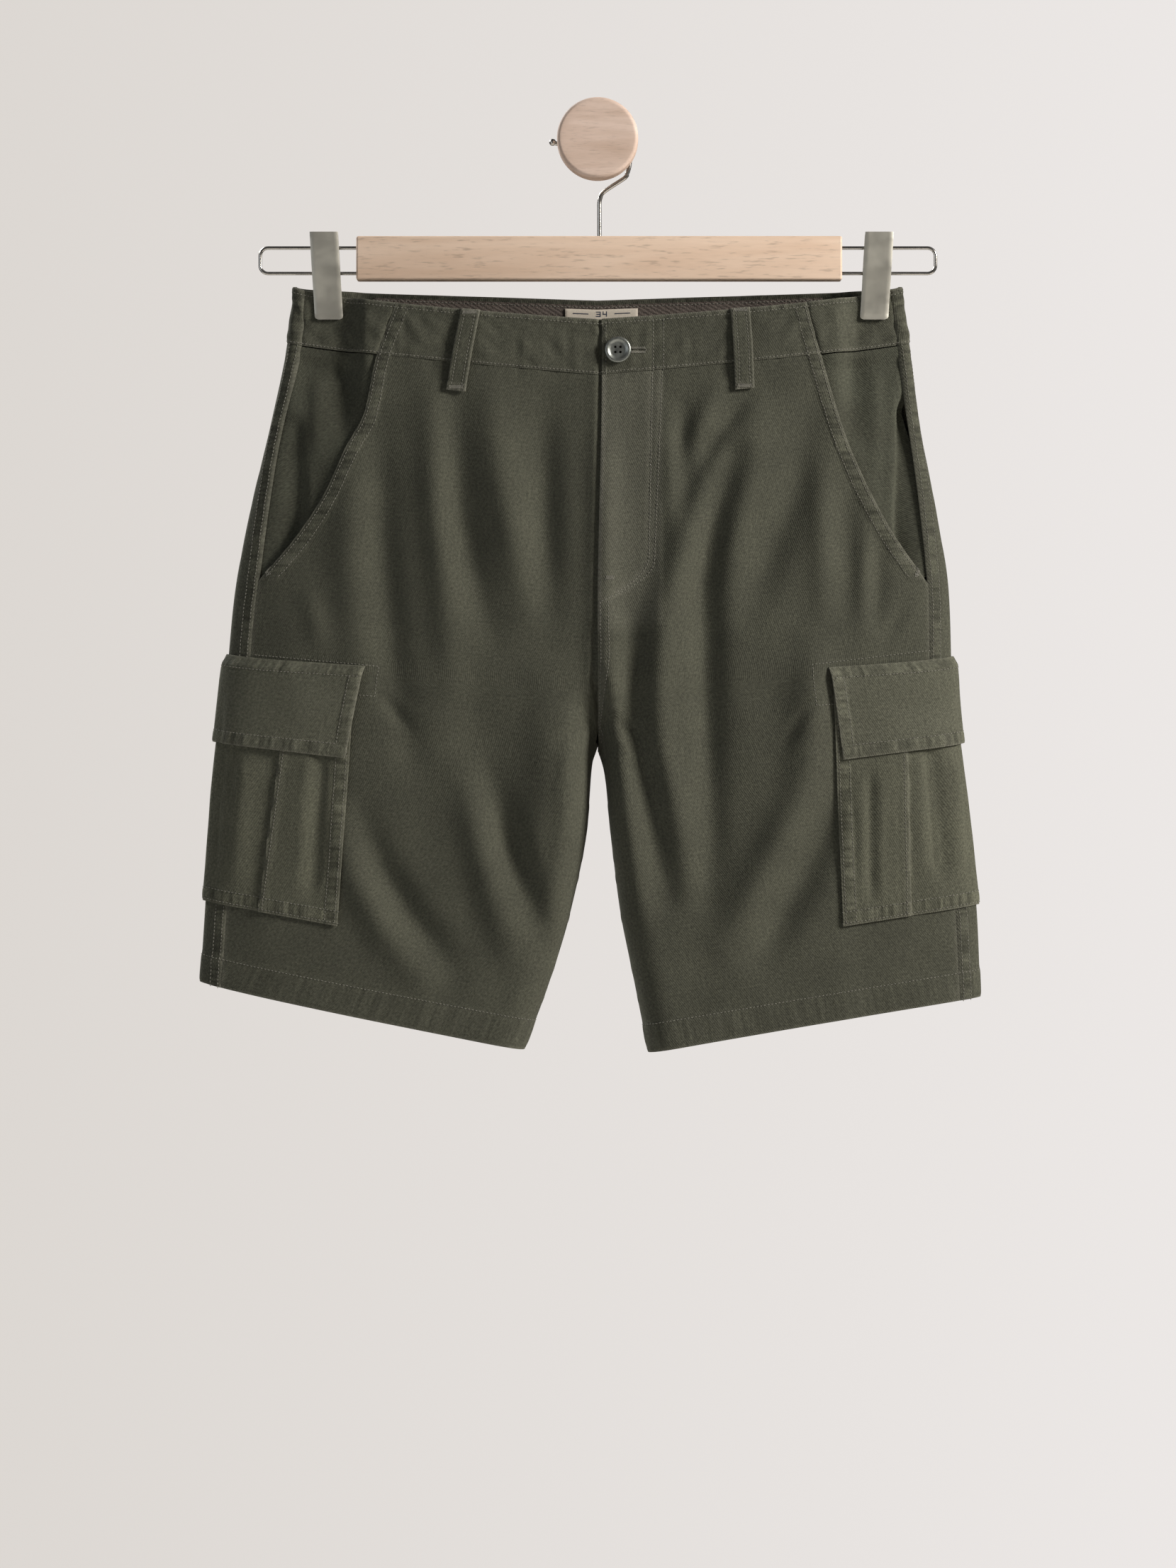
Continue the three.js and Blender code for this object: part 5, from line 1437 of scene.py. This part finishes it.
def clipJaw(name, front):
    # A pressed steel strip with rounded lower corners and bevelled sides; its lower end leans to the middle.
    way = -1 if front else 1
    profile = [(clip["open"] - 0.6, clip["top"]), (clip["open"], clip["top"] - 5),
               (clip["open"], clip["shoulder"] + 8), (clip["grip"] + 1.6, clip["shoulder"] - 6),
               (clip["grip"], clip["bottom"] + 12),
               (clip["grip"], clip["bottom"] + 4), (clip["grip"] + 0.8, clip["bottom"])]
    heights = [z for _, z in profile][::-1]
    depths = [y for y, _ in profile][::-1]
    half = clip["width"] / 2 - (0 if front else 0.8)
    work = bmesh.new()
    rows, columns = 66, 12
    grid = [[], []]
    for j in range(rows + 1):
        z = clip["top"] + (clip["bottom"] - clip["top"]) * j / rows
        y = np.interp(z, heights, depths)
        above = z - clip["bottom"]
        reach = half
        if above < clip["corner"]:
            reach = half - clip["corner"] + math.sqrt(clip["corner"]**2 - (clip["corner"] - above)**2)
        centre = clipX[name] + (0.5 - j / rows) * clip["lean"] * 2 * (1 if name == "left" else -1)
        for i in range(columns + 1):
            across = i / columns * 2 - 1
            x = centre + reach * across
            bevel = max(0.0, (abs(across) * reach - (half - clip["chamfer"])) / clip["chamfer"])
            outer = y + clip["plate"] - 0.55 * min(1.0, bevel)
            for layer, depth in enumerate((outer, y)):
                grid[layer].append(work.verts.new(Vector((x, garment["midY"] + way * depth, z)) * mm))
    at = lambda layer, j, i: grid[layer][j * (columns + 1) + i]
    for j in range(rows):
        for i in range(columns):
            work.faces.new([at(0, j, i), at(0, j + 1, i), at(0, j + 1, i + 1), at(0, j, i + 1)])
            work.faces.new([at(1, j, i), at(1, j, i + 1), at(1, j + 1, i + 1), at(1, j + 1, i)])
        work.faces.new([at(0, j, 0), at(1, j, 0), at(1, j + 1, 0), at(0, j + 1, 0)])
        work.faces.new([at(0, j, columns), at(0, j + 1, columns), at(1, j + 1, columns), at(1, j, columns)])
    for i in range(columns):
        work.faces.new([at(0, 0, i), at(0, 0, i + 1), at(1, 0, i + 1), at(1, 0, i)])
        work.faces.new([at(0, rows, i), at(1, rows, i), at(1, rows, i + 1), at(0, rows, i + 1)])
    bmesh.ops.recalc_face_normals(work, faces=work.faces)
    mesh = bpy.data.meshes.new("jaw")
    work.to_mesh(mesh)
    work.free()
    kind = "front" if front else "back"
    node = "clip_" + kind + "_jaw_" + name
    finishSolid("jaw_" + kind + "_" + name, mesh, clipMaterial, node, 20.0)


def clipSpring(name):
    radius = clip["springRadius"] - clip["springWire"]
    reach = clip["springLength"] - 2 * clip["springWire"]
    points = []
    for share in np.linspace(0, 1, clip["turns"] * 28 + 1):
        angle = 2 * math.pi * share * clip["turns"]
        points.append((clipX[name] + (share - 0.5) * reach, garment["midY"] + radius * math.cos(angle),
                       clip["springZ"] + radius * math.sin(angle)))
    mesh = solidMesh("spring", *tube(points, clip["springWire"], 10))
    finishSolid("spring_" + name, mesh, wireMaterial, "clip_spring_" + name)


def knobPieces():
    edge, radius = knob["edge"], knob["radius"]
    corner = [(radius - edge + edge * math.sin(a), knob["front"] + edge - edge * math.cos(a))
              for a in np.linspace(0, math.pi / 2, 9)]
    back = [(radius - edge + edge * math.cos(a), knob["back"] - edge + edge * math.sin(a))
            for a in np.linspace(0, math.pi / 2, 9)]
    flat = [(r, knob["front"]) for r in (0, 5, 10, 15, 20, 24)]
    disc = lathe(flat + corner + back + [(12, knob["back"]), (0, knob["back"])], 96)
    finishSolid("knob_disc", solidMesh("knob_disc", *disc), knobMaterial, "wall_knob_disc")
    side, top = knob["stem"], knob["back"] + 2 * halfGap
    stem = lathe([(0, top), (side, top), (side, -1), (side - 0.4, 0), (0, 0)], 64)
    finishSolid("knob_stem", solidMesh("knob_stem", *stem), knobMaterial, "wall_knob_stem")


def waistButton():
    radius, height = button["radius"], button["height"]
    profile = [(share * radius, -rise * height) for share, rise in button["profile"]]
    face = clothPieces["waistband_front_left"]["face"]
    near = np.hypot(face[..., 0] - button["x"], face[..., 2] - button["z"]) < radius
    y = face[..., 1][near].min() - 0.5
    body = addObject("button", solidMesh("button", *lathe(profile, button["segments"]),
                                         (button["x"], y, button["z"])))
    ends = (-1.2 * height, 0.4 * height)
    pin = lathe([(0, ends[0]), (button["hole"], ends[0]), (button["hole"], ends[1]), (0, ends[1])], 20)
    for sx in (-button["spacing"], button["spacing"]):
        for sz in (-button["spacing"], button["spacing"]):
            cutter = addObject("pin", solidMesh("pin", *pin, (button["x"] + sx, y, button["z"] + sz)))
            cut = body.modifiers.new("hole", "BOOLEAN")
            cut.operation, cut.solver, cut.object = "DIFFERENCE", "EXACT", cutter
            done = bpy.data.meshes.new_from_object(body.evaluated_get(bpy.context.evaluated_depsgraph_get()))
            body.modifiers.remove(cut)
            body.data = done
            bpy.data.objects.remove(cutter)
    finished = body.data
    bpy.data.objects.remove(body)
    finishSolid("button_disc", finished, buttonMaterial, "waist_button", 40.0)


def woodMaterial(name, look):
    # Planed, unfinished beech: pale, short darker flecks along the grain.
    material, tree, shader = newMaterial(name)
    place = addNode(tree, "ShaderNodeTexCoord").outputs["Object"]
    long = addNode(tree, "ShaderNodeMapping", None, {"Vector": place, "Scale": look["grain"]})
    wide = addNode(tree, "ShaderNodeMapping", None, {"Vector": place, "Scale": look["bands"]})
    fleck = addNode(tree, "ShaderNodeTexNoise", None,
                    {"Vector": long.outputs["Vector"], "Scale": 1.0, "Detail": 2.0})
    band = addNode(tree, "ShaderNodeTexNoise", None,
                   {"Vector": wide.outputs["Vector"], "Scale": 1.0, "Detail": 3.0, "Distortion": 0.6})
    base = ramp(tree, band.outputs["Fac"], [(0.3, srgb(look["dark"])), (0.7, srgb(look["light"]))])
    marks = ramp(tree, fleck.outputs["Fac"],
                 [(0.26, grey(look["fleckTone"])), (0.42, grey(1.0)), (0.8, grey(1.05))])
    tree.links.new(mixColour(tree, "MULTIPLY", 1.0, base, marks), shader.inputs["Base Color"])
    shader.inputs["Roughness"].default_value = 0.62
    relief = addNode(tree, "ShaderNodeBump", None, {"Height": fleck.outputs["Fac"], "Strength": 0.25,
                                                    "Distance": 0.0003})
    tree.links.new(relief.outputs["Normal"], shader.inputs["Normal"])
    return material


beechMaterial = woodMaterial("planedBeech", {"dark": "#d6baa2", "light": "#e9d2bd", "grain": (90, 700, 700),
                                             "bands": (5, 60, 60), "fleckTone": 0.72})
knobMaterial = woodMaterial("turnedBeech", {"dark": "#c6ad9b", "light": "#dfc9bb", "grain": (140, 900, 900),
                                            "bands": (12, 60, 90), "fleckTone": 0.86})
hangerBar()
hangerHook()
for side in ("right", "left"):
    endLoop(side)
    clipJaw(side, True)
    clipJaw(side, False)
    clipSpring(side)
knobPieces()
waistButton()
print("hanger, knob and button made")


# Camera, light and stage

view = {"x": -7.1, "z": -477.2, "y": -3045.0, "frameHeight": 1161.3, "planeY": -45.0, "sensor": 36.0}
camera = addObject("camera", bpy.data.cameras.new("camera"))
camera.data.sensor_fit = "VERTICAL"
camera.data.sensor_height = view["sensor"]
camera.data.lens = view["sensor"] * (view["planeY"] - view["y"]) / view["frameHeight"]
camera.location = (view["x"] * mm, view["y"] * mm, view["z"] * mm)
camera.rotation_euler = (math.radians(90), 0, 0)
camera.data.clip_end = 50
bpy.context.scene.camera = camera
bpy.context.scene.view_settings.view_transform = "Standard"

studio = {"leftTone": "#dcd7d2", "rightTone": "#ece8e6", "ambient": 0.09, "backdrop": 1.0, "floorZ": -1.5}


def areaLight(name, place, target, size, power, colour):
    light = bpy.data.lights.new(name, "AREA")
    light.shape, light.size, light.energy, light.color = "SQUARE", size, power, srgb(colour)[:3]
    lamp = addObject(name, light)
    lamp.location = place
    lamp.visible_camera = False
    lamp.rotation_euler = (Vector(target) - Vector(place)).to_track_quat("-Z", "Y").to_euler()


areaLight("key", (3.2, -1.5, 1.2), (0, 0, -0.35), 1.0, 207, "#fff9f2")
areaLight("fill", (-2.6, -2.2, -0.2), (0, 0, -0.4), 2.0, 14, "#f4f8ff")
areaLight("behind", (-2.1, 1.5, 1.7), (0, 0, -0.6), 1.6, 105, "#fffdfa")  # for the back and the floor

# The backdrop is paler to the right, as lit from there; what lights the cloth from all round is dimmer.
world = bpy.data.worlds.new("studio")
bpy.context.scene.world = world
world.use_nodes = True
worldTree = world.node_tree
background = worldTree.nodes["Background"]
ray = addNode(worldTree, "ShaderNodeLightPath").outputs["Is Camera Ray"]
direction = addNode(worldTree, "ShaderNodeTexCoord").outputs["Generated"]
sideways = addNode(worldTree, "ShaderNodeSeparateXYZ", None, {"Vector": direction}).outputs["X"]
share = addNode(worldTree, "ShaderNodeMapRange", None,
                {"Value": sideways, "From Min": -0.15, "From Max": 0.15}).outputs["Result"]
tone = mixColour(worldTree, "MIX", share, srgb(studio["leftTone"]), srgb(studio["rightTone"]))
worldTree.links.new(tone, background.inputs["Color"])
strength = addNode(worldTree, "ShaderNodeMapRange", None, {"Value": ray, "To Min": studio["ambient"],
                                                           "To Max": studio["backdrop"]})
worldTree.links.new(strength.outputs["Result"], background.inputs["Strength"])

floorMesh = bpy.data.meshes.new("floor")
floorMesh.from_pydata([(-2, -2.4, studio["floorZ"]), (2, -2.4, studio["floorZ"]), (2, 0.9, studio["floorZ"]),
                       (-2, 0.9, studio["floorZ"])], [], [(0, 1, 2, 3)])
floorMesh.materials.append(plainMaterial("paintedFloor", "#d8d5d0", 0.8, size=60.0, noise=0.02))
floor = addObject("floor", floorMesh)

print("scene ready")
